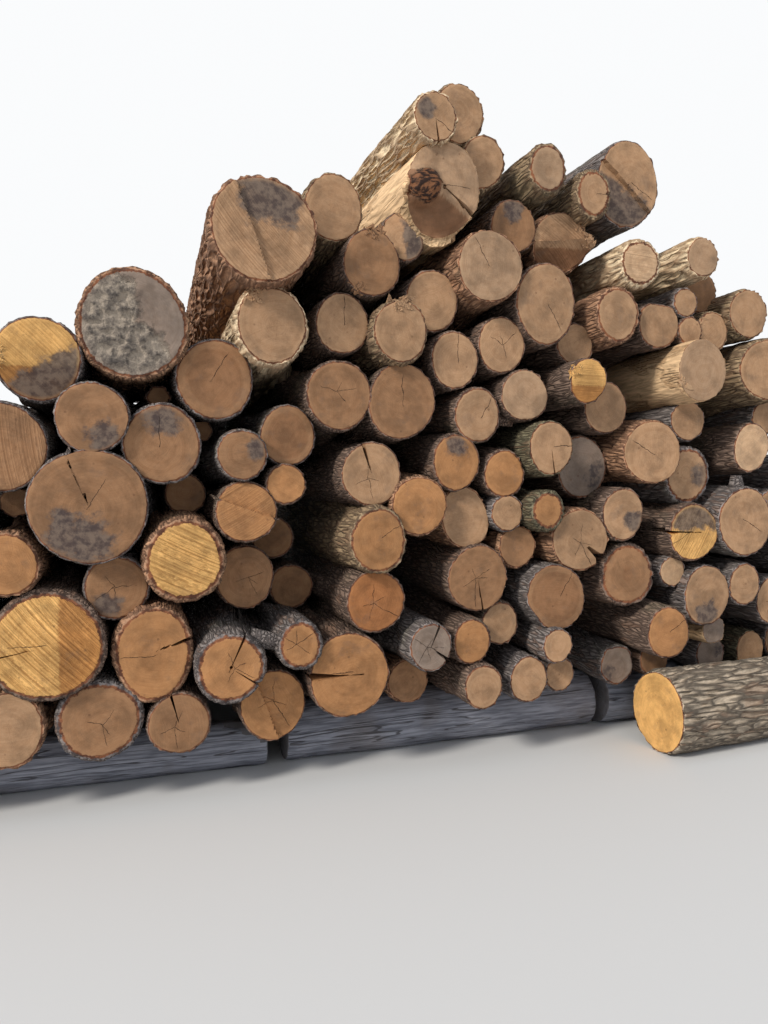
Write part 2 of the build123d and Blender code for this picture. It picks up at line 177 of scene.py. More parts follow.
# How coarse each bark is, 0 to 1, the least and most of a log's shade and of its bark's
# thickness, and what a thick bark and a thin one make of that thickness
COARSENESS = {"russet": 0.6, "corky": 0.7, "cream": 1.0, "plated": 1.0, "peeled": 0.6}
PLAIN_COARSENESS = 0.2
SHADES = (0.93, 1.07)
THICKNESSES = (0.7, 1.3)
THICK_BARK = 2.1
THIN_BARK = 0.3

# Where the marks of an end lie and how far they reach, as shares of its radius, and the
# level and slope of the painted shade that greys one side
PIT_PLACE, PIT_REACH = 0.56, 0.62
SPLINTERS_PLACE, SPLINTERS_REACH = 1.0, 0.42
STAIN_PLACE, STAIN_REACH = 0.62, 0.8
SIDE_SHADE_LEVEL, SIDE_SHADE_SLOPE = 0.3, 1.6

# How every log of the heap looks, course by course from left to right. A word is a tone,
# a mark or a bark, and a log with no word of a kind gets the first of that kind. A word
# with a number has its place on the end face, as the hour of a clock: stain, side (one
# side is greyed, as painted shade), plane (one side is a cut painted darker, as shade),
# crack, pit (a torn hole) and splinters. Thick bark is thick, and bold bark is skinned finely.
COURSE_LOOKS = (
    "tan, ochre star, tan heart, tan russet, brown star thick, brown star umber, "
    "ochre star umber crack5, ochre crack9 crack3 umber, brown russet, tan umber, tan, tan, "
    "grey stain8, brown umber, grey stain2, tan mossy, tan stain4, ochre, tan star, brown",
    "ochre, tan star corky, pink, gold ripped umber thick plane3 crack9, "
    "ochre russet thick crack9, ochre star thick, ochre star thick crack2, grey star crack7, "
    "ochre umber, tan umber, tan, ochre umber crack2, grey peeled, tan star, ochre heart, "
    "tan stain3",
    "tan, ochre star, brown star stain7, gold ripped russet thick, brown star umber, "
    "amber star umber crack4, brown star umber crack6, brown heart crack1, "
    "brown heart umber thick, pale, tan stain6, tan, ochre, tan star",
    "tan star, pale, ochre russet, brown stain6 stain7 crack1, ochre torn umber, "
    "ochre corky crack2 thick, ochre russet, tan russet, tan, brown russet, "
    "tan star russet crack5, tan stain4 umber, gold torn side12 umber crack8, tan crack4, tan, "
    "ochre",
    "pale, brown torn splinters10, brown stain12 crack12, brown stain2, ochre umber, "
    "tan star umber, ochre stain12 umber, ochre umber, ochre mossy thick, grey stain4 umber, "
    "tan russet crack10, tan stain3 thick, tan heart",
    "ochre, brown stain5, brown heart, brown star umber, brown crack12 umber, tan crack1 umber, "
    "tan crack3 mossy, tan umber, tan, pale umber, tan",
    "gold torn plane6 side5 splinters9, grey muddy stain8 stain6 stain10 russet thick, "
    "brown heart crack1, tan umber crack12, pink umber, gold torn plane6 umber splinters10, "
    "pink peeled splinters8, tan corky",
    "tan cream splinters11, tan umber crack12, tan corky splinters12, tan umber star, "
    "tan umber, tan russet thick, tan umber, tan umber, tan corky splinters10",
    "brown umber splinters12 splinters7, tan umber, pink russet crack11, tan umber crack5, tan, "
    "brown umber, tan corky",
    "tan stain1 stain12 torn russet bold, tan corky, tan side3 splinters1 umber, "
    "brown stain12 umber, tan torn plane6 splinters3 splinters2 russet, pale torn cream thick, "
    "pink cream",
    "pink pit9 crack3 plane7 peeled bold, tan corky, pink corky thick, tan corky crack3 thick, "
    "tan side7 crack4",
    "tan stain10 crack4 cream bold, tan corky",
)
FOOT_LOG_LOOK = "gold plated bold"
BEARER_LOOK = "silver star"
GAP_LOG_LOOK = "brown umber"

# Other tones, as they show in daylight (0 to 255)
TONES = {
    "flaked bark": (146, 108, 84),
    "algae": (108, 108, 84),
    "knot": (92, 62, 44),
    # Stain tones, also used for the painted shade of a greyed side
    "dark stain and side shade": (58, 52, 55),
    "pale stain and side shade": (112, 98, 88),
    "weathering": (96, 84, 76),
    # Mud, and the painted shade in the hollows between its clods
    "mud hollow shade": (84, 78, 74),
    "dry mud": (172, 158, 142),
    # The torn pit: painted shade in its hollows, and the shreds' own tone
    "torn pit shade": (44, 28, 22),
    "torn shred": (126, 84, 56),
    "crack": (42, 28, 22),
    "dark inner bark": (86, 52, 38),
    "pale inner bark": (136, 86, 58),
    # The weathered wood's grey, set darker and bluer as painted shade
    "grey wood in painted shade": (100, 102, 112),
    "silver wood in painted shade": (152, 154, 164),
    "damp wood": (104, 94, 88),
    "old crack": (56, 52, 52),
}

# Noises of the materials: waves a metre, detail, roughness and warp
NOISES = {
    "bent plates": (13.0, 2.0),
    "bark fibre": (120.0, 4.0, 0.65),
    "bark grit": (260.0, 2.0, 0.6),
    "bark patches": (6.0, 4.0, 0.6),
    "algae": (3.2, 3.0),
    "bare streaks": (60.0, 4.0, 0.6),
    "bark left on": (6.0, 4.0),
    "bent rings": (8.0, 3.0),
    "growth rings": (210.0, 2.0, 0.6),
    "ring bands": (38.0, 2.0),
    "broad tone": (8.0, 5.0, 0.62),
    "mottle": (26.0, 4.0, 0.62),
    "specks": (190.0, 3.0, 0.65),
    "saw marks": (170.0, 4.0, 0.6),
    "crack wobble": (22.0, 4.0, 0.6),
    "blots": (13.0, 6.0, 0.68),
    "weathering": (9.0, 5.0, 0.65),
    "mud clods": (24.0, 6.0, 0.66),
    "torn shreds": (90.0, 3.0, 0.6),
    "ragged rim": (45.0, 4.0, 0.6),
    "torn fibre": (160.0, 3.0, 0.6),
    "old grain": (70.0, 4.0, 0.6),
    "old cracks": (22.0, 2.0, 0.4, 0.4),
    "damp stretches": (3.0, 3.0),
}

# Bark plates: how far they are drawn out and bent, their cells a metre by coarseness
# (slope and start), and the share of a cell that is furrow
PLATE_DRAWN = 0.17
PLATE_BEND = 0.075
PLATE_SCALE = (-34.0, 64.0)
FURROW_SHARE = 0.26

# How far apart in a pattern two logs lie, and how far the pith is off the middle
PATTERN_STEPS = (3.7, 1.9, 7.3)
PITH_OFF = 0.02

# Cracks: the reach of the main one, and the turn from it and reach of each smaller one
MAIN_CRACK = 0.17
STAR_RAYS = ((1.1, 0.075), (2.5, 0.11), (3.4, 0.06), (4.9, 0.09))

# Depths in metres, and scales in waves a metre, of what is worked into a skin
RELIEF_SIZES = {
    "Furrow depth": 0.016,
    "Lump depth": 0.022,
    "Lump scale": 9.0,
    "Clod depth": 0.07,
    "Clod scale": 24.0,
    "Pit depth": 0.06,
    "Splinters per area": 4500.0,
}

# A sliver: the height, width and bend of its sections, and its tip. Then the least and
# most of how the slivers of a torn end lean, and of their sizes
SLIVER_SECTIONS = ((0.0, 1.0, 0.0), (0.35, 0.85, 0.12), (0.7, 0.5, 0.1))
SLIVER_TIP = (-0.1, 0.0, 1.0)
SLIVER_LEANS = ((-0.4, -0.5, -0.5), (1.0, 0.2, 0.9))
SLIVER_SIZES = ((0.010, 0.005, 0.022), (0.030, 0.012, 0.065))

# The lowest that a dressed piece may reach, and the sharpest edge that is shaded smooth
ABOVE_GROUND = 0.0005
SMOOTH_TO = math.radians(48)

# Where the photograph was taken from, against the left end and the front of the
# bearers: metres across, in front of and above the ground, and the lens
CAMERA_FROM_MIDDLE_BEARER = 0.603 - 1.370
CAMERA_BEFORE_BEARER = 3.728 + 0.300
CAMERA_HEIGHT = 1.6
CAMERA_TURN = math.radians(18.0)
CAMERA_DIP = math.radians(3.12)
LENS, SENSOR_WIDTH = 27.07, 36
SEEN_TO = 100

# Light: the sun's strength, breadth, colour and direction, the soft light from all
# round, and the white that the camera sees behind the heap
SUN_STRENGTH = 2.95
SUN_BREADTH = math.radians(10)
SUN_COLOUR = (1.0, 0.95, 0.87)
SUN_FROM = (-0.84, -0.42, 0.6)
SOFT_LIGHT = ((0.88, 0.93, 1.0, 1), 0.78)
BACKDROP = ((0.96, 0.97, 0.98, 1), 1.0)

# The floor: how far it reaches, its tone, roughness and sheen
FLOOR_REACH = 60
FLOOR_TONE = (0.62, 0.62, 0.62, 1)
FLOOR_ROUGHNESS, FLOOR_SHEEN = 0.9, 0.1


def linear(channels):
    """A 0 to 255 tone as scene-linear colour."""
    shares = [channel / 255 for channel in channels]
    return [s / 12.92 if s <= 0.04045 else ((s + 0.055) / 1.055) ** 2.4 for s in shares]


def scatter(number, salt, low=0.0, high=1.0):
    """An even, repeatable value between two others."""
    return low + (high - low) * ((math.sin(number * 12.9898 + salt * 78.233) * 43758.5453) % 1.0)


def hours(words, kind):
    """The turns on the end face of words such as stain5, at five o'clock."""
    found = [word[len(kind):] for word in words if word.startswith(kind) and word != kind]
    return [math.pi / 2 - int(hour) * math.pi / 6 for hour in found]


def look_of(words, number):
    """The values that a log's words stand for."""
    words = words.split()
    wood = next((w for w in words if w in WOOD_TONES), "tan")
    bark = next((w for w in words if w in BARK_TONES), "greyed")
    shade = scatter(number, 3, *SHADES)
    ridge, furrow = BARK_TONES[bark]
    marks = [1.0 if mark in words else 0.0 for mark in END_MARKS]
    if "ripped" in words:
        marks[END_MARKS.index("torn")] = RIPPED
    bold = "bold" in words
    peeled = bark == "peeled"
    thick = BARK * scatter(number, 5, *THICKNESSES)
    thick *= (THICK_BARK if "thick" in words else 1.0) * (THIN_BARK if peeled else 1.0)
    kinds = ("stain", "side", "plane", "crack", "pit", "splinters")
    places = {kind: hours(words, kind) for kind in kinds}
    return {
        "wood": [shade * c for c in linear(WOOD_TONES[wood])],
        "ridge": [shade * c for c in linear(ridge)],
        "furrow": linear(furrow),
        "marks": marks,
        "peeled": 1.0 if peeled else 0.0,
        "coarse": 1.0 if bold else COARSENESS.get(bark, PLAIN_COARSENESS),
        "bold": bold,
        "thick": thick,
        **places,
    }


class Log:
    """One solid of the frame: its axis and rays that find its surface."""

    def __init__(self, corners, triangles, number, words, weathered=False, on_ground=False):
        self.corners, self.triangles = corners, triangles
        self.tree = BVHTree.FromPolygons(corners, triangles)
        self.number = number
        self.look = look_of(words, number)
        self.weathered = weathered
        self.on_ground = on_ground
        corners = np.array(corners)
        low, high = corners.min(axis=0), corners.max(axis=0)
        self.reach = float(np.linalg.norm(high - low))
        ends = [self.middle(low, high, share) for share in AXIS_SHARES]
        self.along = (ends[1] - ends[0]).normalized()
        self.up = (Vector((0, 0, 1)) - self.along * self.along.z).normalized()
        self.side = self.along.cross(self.up)
        self.start = ends[0]
        self.front = -self.depth(self.start, self.along, -1)
        self.back = self.depth(self.start, self.along, 1)

    def middle(self, low, high, share):
        """The middle of the section at a share of the way along the solid's box."""
        rough = 0 if high[0] - low[0] > high[1] - low[1] else 1
        point = Vector((low + high) / 2)
        point[rough] = low[rough] + share * (high[rough] - low[rough])
        for _ in range(AXIS_ROUNDS):
            hits = []
            for step in range(AXIS_RAYS):
                angle = 2 * math.pi * step / AXIS_RAYS
                way = Vector((0, 0, math.sin(angle)))
                way[1 - rough] = math.cos(angle)
                hits.append(self.tree.ray_cast(point, way)[0] or point)
            point = sum(hits, Vector()) / len(hits)
        return point

    def depth(self, point, way, sense):
        """How far the solid goes on from a point inside it."""
        hit = self.tree.ray_cast(point, way * sense)[0]
        return (hit - point).length if hit else 0.0

    def way(self, angle):
        """The direction from the axis at an angle round it."""
        return self.side * math.cos(angle) + self.up * math.sin(angle)

    def place(self, angle, distance, depth):
        """The point at an angle round the axis, a distance from it and a depth along it."""
        return self.start + self.along * depth + self.way(angle) * distance

    def radius(self, station, angle):
        """How far the bark lies from the axis there, or None past the solid."""
        way = self.way(angle)
        origin = self.start + self.along * station + way * self.reach
        hit = self.tree.ray_cast(origin, -way)
        return self.reach - hit[3] if hit[0] and hit[3] < self.reach else None

    def end(self, angle, distance, sense):
        """Where the end face lies along the axis, at an angle and distance from it."""
        far = self.start + self.way(angle) * distance + self.along * sense * self.reach
        hit = self.tree.ray_cast(far, -self.along * sense)
        return sense * (self.reach - hit[3]) if hit[0] else None


def solids_of(mesh):
    """The corners of every solid in a mesh, from the left solid to the right one."""
    seen = set()
    solids = []
    for vert in mesh.verts:
        if vert in seen:
            continue
        solid = [vert]
        seen.add(vert)
        for member in solid:
            for edge in member.link_edges:
                other = edge.other_vert(member)
                if other not in seen:
                    seen.add(other)
                    solid.append(other)
        solids.append(solid)
    return sorted(solids, key=lambda solid: sum(v.co.x for v in solid) / len(solid))


def read_logs():
    """Every solid of the frame as a log, by node."""
    logs = {}
    number = 0
    for name, node in sorted(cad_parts.items()):
        mesh = bmesh.new()
        mesh.from_mesh(node.data)
        bmesh.ops.remove_doubles(mesh, verts=mesh.verts, dist=1e-5)
        bmesh.ops.triangulate(mesh, faces=mesh.faces)
        mesh.verts.index_update()
        logs[name] = []
        for place, solid in enumerate(solids_of(mesh)):
            index = {v: i for i, v in enumerate(solid)}
            faces = {face for v in solid for face in v.link_faces}
            triangles = [[index[v] for v in face.verts] for face in faces]
            corners = [tuple(v.co) for v in solid]
            number += 1
            words = words_of(name, place)
            log = Log(corners, triangles, number, words, "bearer" in name, name == "foot_log")
            logs[name].append(log)
        mesh.free()
    return logs


def whole_heap(logs):
    """One tree of every solid, to find what lies beside a log."""
    corners, triangles = [], []
    for log in (log for group in logs.values() for log in group):
        triangles += [[len(corners) + corner for corner in triangle] for triangle in log.triangles]
        corners += log.corners
    return BVHTree.FromPolygons(corners, triangles)


def words_of(name, place):
    """The look of a node's log, by its place from the left."""
    if name == "foot_log":
        return FOOT_LOG_LOOK
    if "bearer" in name:
        return BEARER_LOOK
    if name.startswith("gap_logs"):
        return GAP_LOG_LOOK
    course = int(name.split("_")[1])
    looks = COURSE_LOOKS[course - 1].split(", ")
    turn = 2 * place + (1 if name.endswith("_b") else 0)
    return looks[turn] if turn < len(looks) else "tan"


def wander(number, salt, angles, waves):
    """A closed wavy row of values between about -1 and 1."""
    angles = np.array(angles)
    total = np.zeros(len(angles))
    for wave in range(1, waves + 1):
        size = 0.5 + 0.5 * scatter(number, salt + wave)
        total += size * np.sin(wave * angles + 6.28 * scatter(number, salt + 40 + wave))
    return total / math.sqrt(waves)


def stations_of(length, step):
    """How far from the front the rings of a skin lie: close together near the ends."""
    first, last = NEAR_STATIONS[-1], length - REAR_STATIONS[0]
    near = list(NEAR_STATIONS)
    if step < OPEN_STEP:
        near = [s for s in near if s < 2.5 * step]
        first = near[-1]
    count = max(1, round((last - first) / step))
    between = [first + (last - first) * n / count for n in range(1, count)]
    return near + between + [length - s for s in REAR_STATIONS]


class Skin:
    """The mesh of one node, gathered log by log."""

    def __init__(self):
        self.points, self.faces, self.materials, self.values = [], [], [], {}

    def add_point(self, log, angle, r, depth, rim, relief, end=None):
        """A point of a log; end is its place on the end face as shares of the radius."""
        look = log.look
        values = {
            "grain_point": (r * math.cos(angle), r * math.sin(angle), depth - log.front),
            "seed": float(log.number),
            "rim": rim,
            "relief": relief,
            # The stain value also carries the painted shade of a greyed side
            "stain": stain_and_side_shade_at(look, end),
            "pit": spot_at(look["pit"], end, PIT_PLACE, PIT_REACH),
            "splinters": spot_at(look["splinters"], end, SPLINTERS_PLACE, SPLINTERS_REACH),
            "coarse": look["coarse"],
            "peeled": look["peeled"],
            "crack": 1.0 if look["crack"] else 0.0,
            "crack_turn": look["crack"][0] if look["crack"] else 0.7 * log.number,
            "wood": (*wood_at(look, end), 1.0),
            "ridge": (*look["ridge"], 1.0),
            "furrow": (*look["furrow"], 1.0),
            "marks": tuple(look["marks"]),
        }
        for name, value in values.items():
            self.values.setdefault(name, []).append(value)
        self.points.append(log.place(angle, r, depth))
        return len(self.points) - 1

    def add_face(self, corners, material):
        self.faces.append(corners)
        self.materials.append(material)


def spot_at(turns, end, out, reach):
    """How near a place on the end face is to one of some spots, 0 to 1."""
    level = 0.0
    for turn in turns if end else ():
        gap = math.hypot(end[0] - out * math.cos(turn), end[1] - out * math.sin(turn))
        level = max(level, 1 - gap / reach)
    return level


def stain_and_side_shade_at(look, end):
    """How dark an end face is at a place, 0 to 1: stains, and a side greyed as painted shade."""
    level = spot_at(look["stain"], end, STAIN_PLACE, STAIN_REACH)
    # A greyed side: painted shade, darker towards that side of the end
    for turn in look["side"] if end else ():
        level = max(level, SIDE_SHADE_LEVEL + SIDE_SHADE_SLOPE * toward(end, turn))
    return min(level, 1.0)


def toward(end, turn):
    """How far a place on the end face lies in a direction."""
    return end[0] * math.cos(turn) + end[1] * math.sin(turn)


def wood_at(look, end):
    """The tone of the wood at a place on the end face, darker on a second plane as painted shade.
    """
    for turn in look["plane"] if end else ():
        # The second plane is painted darker, as shade
        if toward(end, turn) > NOTCH_FROM:
            return [c * kept for c, kept in zip(look["wood"], NOTCH_PAINTED_SHADE)]
    return look["wood"]


def jumps_round(log, sense):
    """The angles at which the rim of an end face jumps in depth."""
    scan = [2 * math.pi * step / SCAN for step in range(SCAN + 1)]
    depths = [rim_depth(log, angle, sense) for angle in scan]
    jumps = []
    for first, last, a, b in zip(scan, scan[1:], depths, depths[1:]):
        if abs(a - b) > LEDGE:
            jumps.append(bisect(lambda angle: rim_depth(log, angle, sense), first, last))
    return jumps


def corner_angles(log, jumps):
    """Even angles round the log, with two more at the sides of every jump."""
    girth = 2 * math.pi * (log.radius(PROBE, 0) or ANY_RADIUS)
    strips = min(max(FEWEST_STRIPS, round(girth / STRIP)), MOST_STRIPS)
    strips = BOLD_STRIPS if log.look["bold"] else strips
    extra = [jump + side for jump in jumps for side in (-BESIDE, BESIDE)]
    even = [2 * math.pi * corner / strips for corner in range(strips)]
    kept = [a for a in even if all(abs(a - e) > CROWDED for e in extra)]
    return sorted(kept + [e % (2 * math.pi) for e in extra])


def splits_among(jumps, log, sense):
    """Pairs of jumps that are the two sides of one narrow split."""
    splits = []
    for left, right in zip(jumps, jumps[1:]):
        inside = abs(rim_depth(log, (left + right) / 2, sense))
        outside = abs(rim_depth(log, left - SPLIT_OUTSIDE, sense))
        if right - left < WIDEST_SPLIT and inside < outside - LEDGE:
            splits.append((left, right))
    return splits


def follow_split(log, split, radii, sense):
    """The two sides of a split at every radius, from the bark inward."""
    left, right = split
    sides = {}
    for r in sorted(radii, reverse=True):
        middle = (left + right) / 2
        outside = log.end(middle - SPLIT_SEARCH, r, sense)
        inside = log.end(middle, r, sense)
        if inside is None or outside is None or abs(inside - outside) < LEDGE:
            break

        def depth_at(angle):
            return log.end(angle, r, sense) or outside

        left = bisect(depth_at, middle - SPLIT_SEARCH, middle)
        right = bisect(depth_at, middle, middle + SPLIT_SEARCH)
        sides[r] = (left, right)
    return sides


def bisect(measure, low, high):
    """Where between two places a measured depth jumps."""
    at_low, at_high = measure(low), measure(high)
    for _ in range(HALVINGS):
        middle = (low + high) / 2
        if abs(measure(middle) - at_low) < abs(measure(middle) - at_high):
            low = middle
        else:
            high = middle
    return (low + high) / 2


def rim_depth(log, angle, sense):
    """Where the end face lies close to the bark, along the axis."""
    found = log.end(angle, RIM_SHARE * (log.radius(PROBE, angle) or ANY_RADIUS), sense)
    return found if found is not None else (log.front if sense < 0 else log.back)


def skin_log(skin, log, is_open, heap):
    """Wraps a log's solid: bark along its length and a sawn disc on each end."""
    jumps = {sense: jumps_round(log, sense) for sense in (-1, 1)}
    angles = corner_angles(log, jumps[-1] + jumps[1])
    count = len(angles)
    length = log.back - log.front
    thickness = log.look["thick"] * (THIN_BARK if log.weathered else 1.0)
    swell = swell_of(log)
    front_edge = np.array([rim_depth(log, angle, -1) for angle in angles])
    back_edge = np.array([rim_depth(log, angle, 1) for angle in angles])
    bare = NO_BARK if log.weathered else 0.0
    chip = BARK_CHIP * (THIN_BARK if log.look["peeled"] or log.weathered else 1.0)
    waves = [wander(log.number, salt, angles, CHIP_WAVES) for salt in (11, 12)]
    levels = [np.clip(CHIP_LEVEL + CHIP_SPREAD * wave, 0, 1) for wave in waves]
    front_chip, back_chip = (chip * level for level in levels)
    scallop = SCALLOP * wander(log.number, 60, angles, SCALLOP_WAVES)
    step = BOLD_STEP if log.look["bold"] else OPEN_STEP if is_open else HIDDEN_STEP
    rings, outlines = [], []
    for station in stations_of(length, step):
        share = station / length
        rest = length - station
        at = front_edge + (back_edge - front_edge) * share
        inside = np.clip(at, front_edge + WITHIN, back_edge - WITHIN)
        place = np.array([log.radius(a, angle) or 0.0 for a, angle in zip(inside, angles)])
        place = np.where(place > 0, place, place.max())
        if outlines and STUB_ZONE[0] < station < STUB_ZONE[1]:
            above = place + swell - outlines[0]
            place = place + np.where(above > STUB_LEAST, STUB_GROWTH * above, 0.0)
        outlines.append(ease(place) + swell)
        nearest = min(station, rest)
        middle = max(0.0, min(1.0, (nearest - BULGE_FROM) / BULGE_RISE))
        if middle and swell:
            reach = bulge(log, angles, inside, place, is_open, heap)
            outlines[-1] = outlines[-1] + middle * reach
        at = at + front_chip * fade(station, CHIP_REACH) - back_chip * fade(rest, CHIP_REACH)
        bevel = BEVEL_SHARE * thickness * fade(nearest, BEVEL_REACH)
        edge = scallop * fade(nearest, SCALLOP_REACH) if swell else 0.0
        relief = min(1.0, RELIEF_AT_END + nearest / RELIEF_REACH)
        ring = []
        for angle, depth, r in zip(angles, at, outlines[-1] - bevel + edge):
            end = (math.cos(angle), math.sin(angle)) if station < END_REACH else None
            ring.append(skin.add_point(log, angle, r, depth, bare, relief, end))
        rings.append(ring)
    for first, second in zip(rings, rings[1:]):
        for corner in range(count):
            following = (corner + 1) % count
            skin.add_face((first[corner], first[following], second[following], second[corner]), 0)
    add_disc(skin, log, angles, rings[0], outlines[0], thickness, front_edge, -1, jumps[-1])
    add_disc(skin, log, angles, rings[-1], outlines[-1], thickness, back_edge, 1, jumps[1])


def fade(distance, reach):
    """1 at an end of the log, falling to 0 at a reach from it."""
    return max(0.0, 1 - distance / reach)


def swell_of(log):
    """How far the bark stands proud of a log's solid."""
    return 0.0 if log.weathered or log.on_ground else BARK_SWELL


def bulge(log, angles, depths, radii, is_open, heap):
    """How far the bark reaches into the gap beside it, at each corner of a ring."""
    reach = np.zeros(len(angles))
    for corner, (angle, depth, radius) in enumerate(zip(angles, depths, radii)):
        if is_open and math.sin(angle) > OPEN_ABOVE:
            continue
        bark = log.place(angle, radius + OFF_BARK, depth)
        found = heap.ray_cast(bark, log.way(angle), WIDEST_GAP)
        if found[0]:
            reach[corner] = min(GAP_SHARE * found[3], MOST_BULGE)
    return (np.roll(reach, 1) + reach + np.roll(reach, -1)) / 3


def ease(place):
    """A closed row of radii with the solid's small corners rounded and its jumps kept."""
    before, after = np.roll(place, 1), np.roll(place, -1)
    flat = np.maximum(abs(before - place), abs(after - place)) < LEDGE
    return np.where(flat, (before + 2 * place + after) / 4, place)


def add_disc(skin, log, angles, rim_ring, outline, thickness, edge, sense, jumps):
    """The sawn end: a wood disc inside the bark's broken edge."""
    count = len(angles)
    uneven = wander(log.number, 20 + sense, angles, BARK_WAVES)
    wood = outline - thickness * (1 + BARK_UNEVEN * uneven)
    plain = not jumps and edge.max() - edge.min() < PLAIN_CUT
    shares = BACK_SHARES if sense > 0 and plain else DISC_SHARES
    if not plain or sense < 0 and (log.look["pit"] or log.look["marks"][2]):
        shares = FINE_DISC_SHARES
    swell = swell_of(log)
    tracks = split_tracks(log, angles, float(wood.mean()), shares, sense, jumps)
    columns = []
    for corner, angle in enumerate(angles):
        limit = FACE_SHARE * (outline[corner] - swell)

        def depth_at(r, angle=angle):
            found = log.end(angle, min(r, limit), sense)
            return edge[corner] if found is None else found

        radii = [share * wood[corner] for share in shares]
        depths = [depth_at(r) for r in radii]
        if corner in tracks:
            turned = tracks[corner]
            columns.append([(turned[n], r, depth_at(r, turned[n])) for n, r in enumerate(radii)])
            continue
        for inner in range(len(radii) - 1):
            if abs(depths[inner] - depths[inner + 1]) > LEDGE and not plain:
                jump = bisect(depth_at, radii[inner], radii[inner + 1])
                radii[inner], radii[inner + 1] = jump - JUMP_SIDE, jump + JUMP_SIDE
        columns.append([(angle, r, depth_at(r)) for r in radii])
    rings = []
    for number in range(len(shares)):
        ring = []
        for corner in range(count):
            angle, r, depth = columns[corner][number]
            share = r / outline[corner]
            end = (share * math.cos(angle), share * math.sin(angle)) if sense < 0 else None
            rim = (outline[corner] - r) * BARK_SHOWN / thickness
            rim += NO_BARK if log.weathered else 0.0
            ring.append(skin.add_point(log, angle, r, depth, rim, 0.0, end))
        rings.append(ring)
    rings.append(rim_ring)
    end = (0, 0) if sense < 0 else None
    middle = (0, 0, log.end(0, 0, sense))
    centre = skin.add_point(log, *middle, float(outline.mean()), 0.0, end)
    for corner in range(count):
        following = (corner + 1) % count
        face = (centre, rings[0][corner], rings[0][following])
        skin.add_face(face if sense > 0 else face[::-1], 1)
        for inner, outer in zip(rings, rings[1:]):
            face = (inner[corner], outer[corner], outer[following], inner[following])
            skin.add_face(face if sense > 0 else face[::-1], 1)


def split_tracks(log, angles, radius, shares, sense, jumps):
    """For the corners beside a split: the angle that each has at every share of the radius."""
    tracks = {}
    for split in splits_among(jumps, log, sense):
        sides = follow_split(log, split, [share * radius for share in shares], sense)
        for jump, side in ((split[0], 0), (split[1], 1)):
            for beside in (-BESIDE, BESIDE):
                corner = min(range(len(angles)), key=lambda c: abs(angles[c] - jump - beside))
                track = []
                for share in shares:
                    kept = sides.get(share * radius)
                    track.append(None if kept is None else kept[side] + beside)
                known = [angle for angle in track if angle is not None]
                if known:
                    first = known[0]
                    tracks[corner] = [first if angle is None else angle for angle in track]
    return tracks


def mesh_of(skin, name):
    """A mesh of a skin, with the values that its points carry."""
    mesh = bpy.data.meshes.new(name)
    mesh.from_pydata([tuple(p) for p in skin.points], [], skin.faces)
    mesh.polygons.foreach_set("use_smooth", [True] * len(skin.faces))
    for key, values in skin.values.items():
        width = len(values[0]) if isinstance(values[0], tuple) else 1
        kind = {1: "FLOAT", 3: "FLOAT_VECTOR", 4: "FLOAT_COLOR"}[width]
        attribute = mesh.attributes.new(key, kind, "POINT")
        field = {1: "value", 3: "vector", 4: "color"}[width]
        attribute.data.foreach_set(field, np.array(values, np.float32).ravel())
    mesh.update()
    return mesh


def open_logs(logs):
    """The logs whose bodies show from above or from the sides of the heap."""
    everything = [log for group in logs.values() for log in group]
    shown = set()
    for log in everything:
        for share in OPEN_SHARES:
            point = log.start + log.along * (log.front + share * (log.back - log.front))
            for step in range(OPEN_RAYS):
                angle = math.pi * (step + 0.5) / OPEN_RAYS
                way = log.way(angle)
                others = (other.tree for other in everything if other is not log)
                if not any(tree.ray_cast(point, way)[0] for tree in others):
                    shown.add(log)
                    break
    return shown


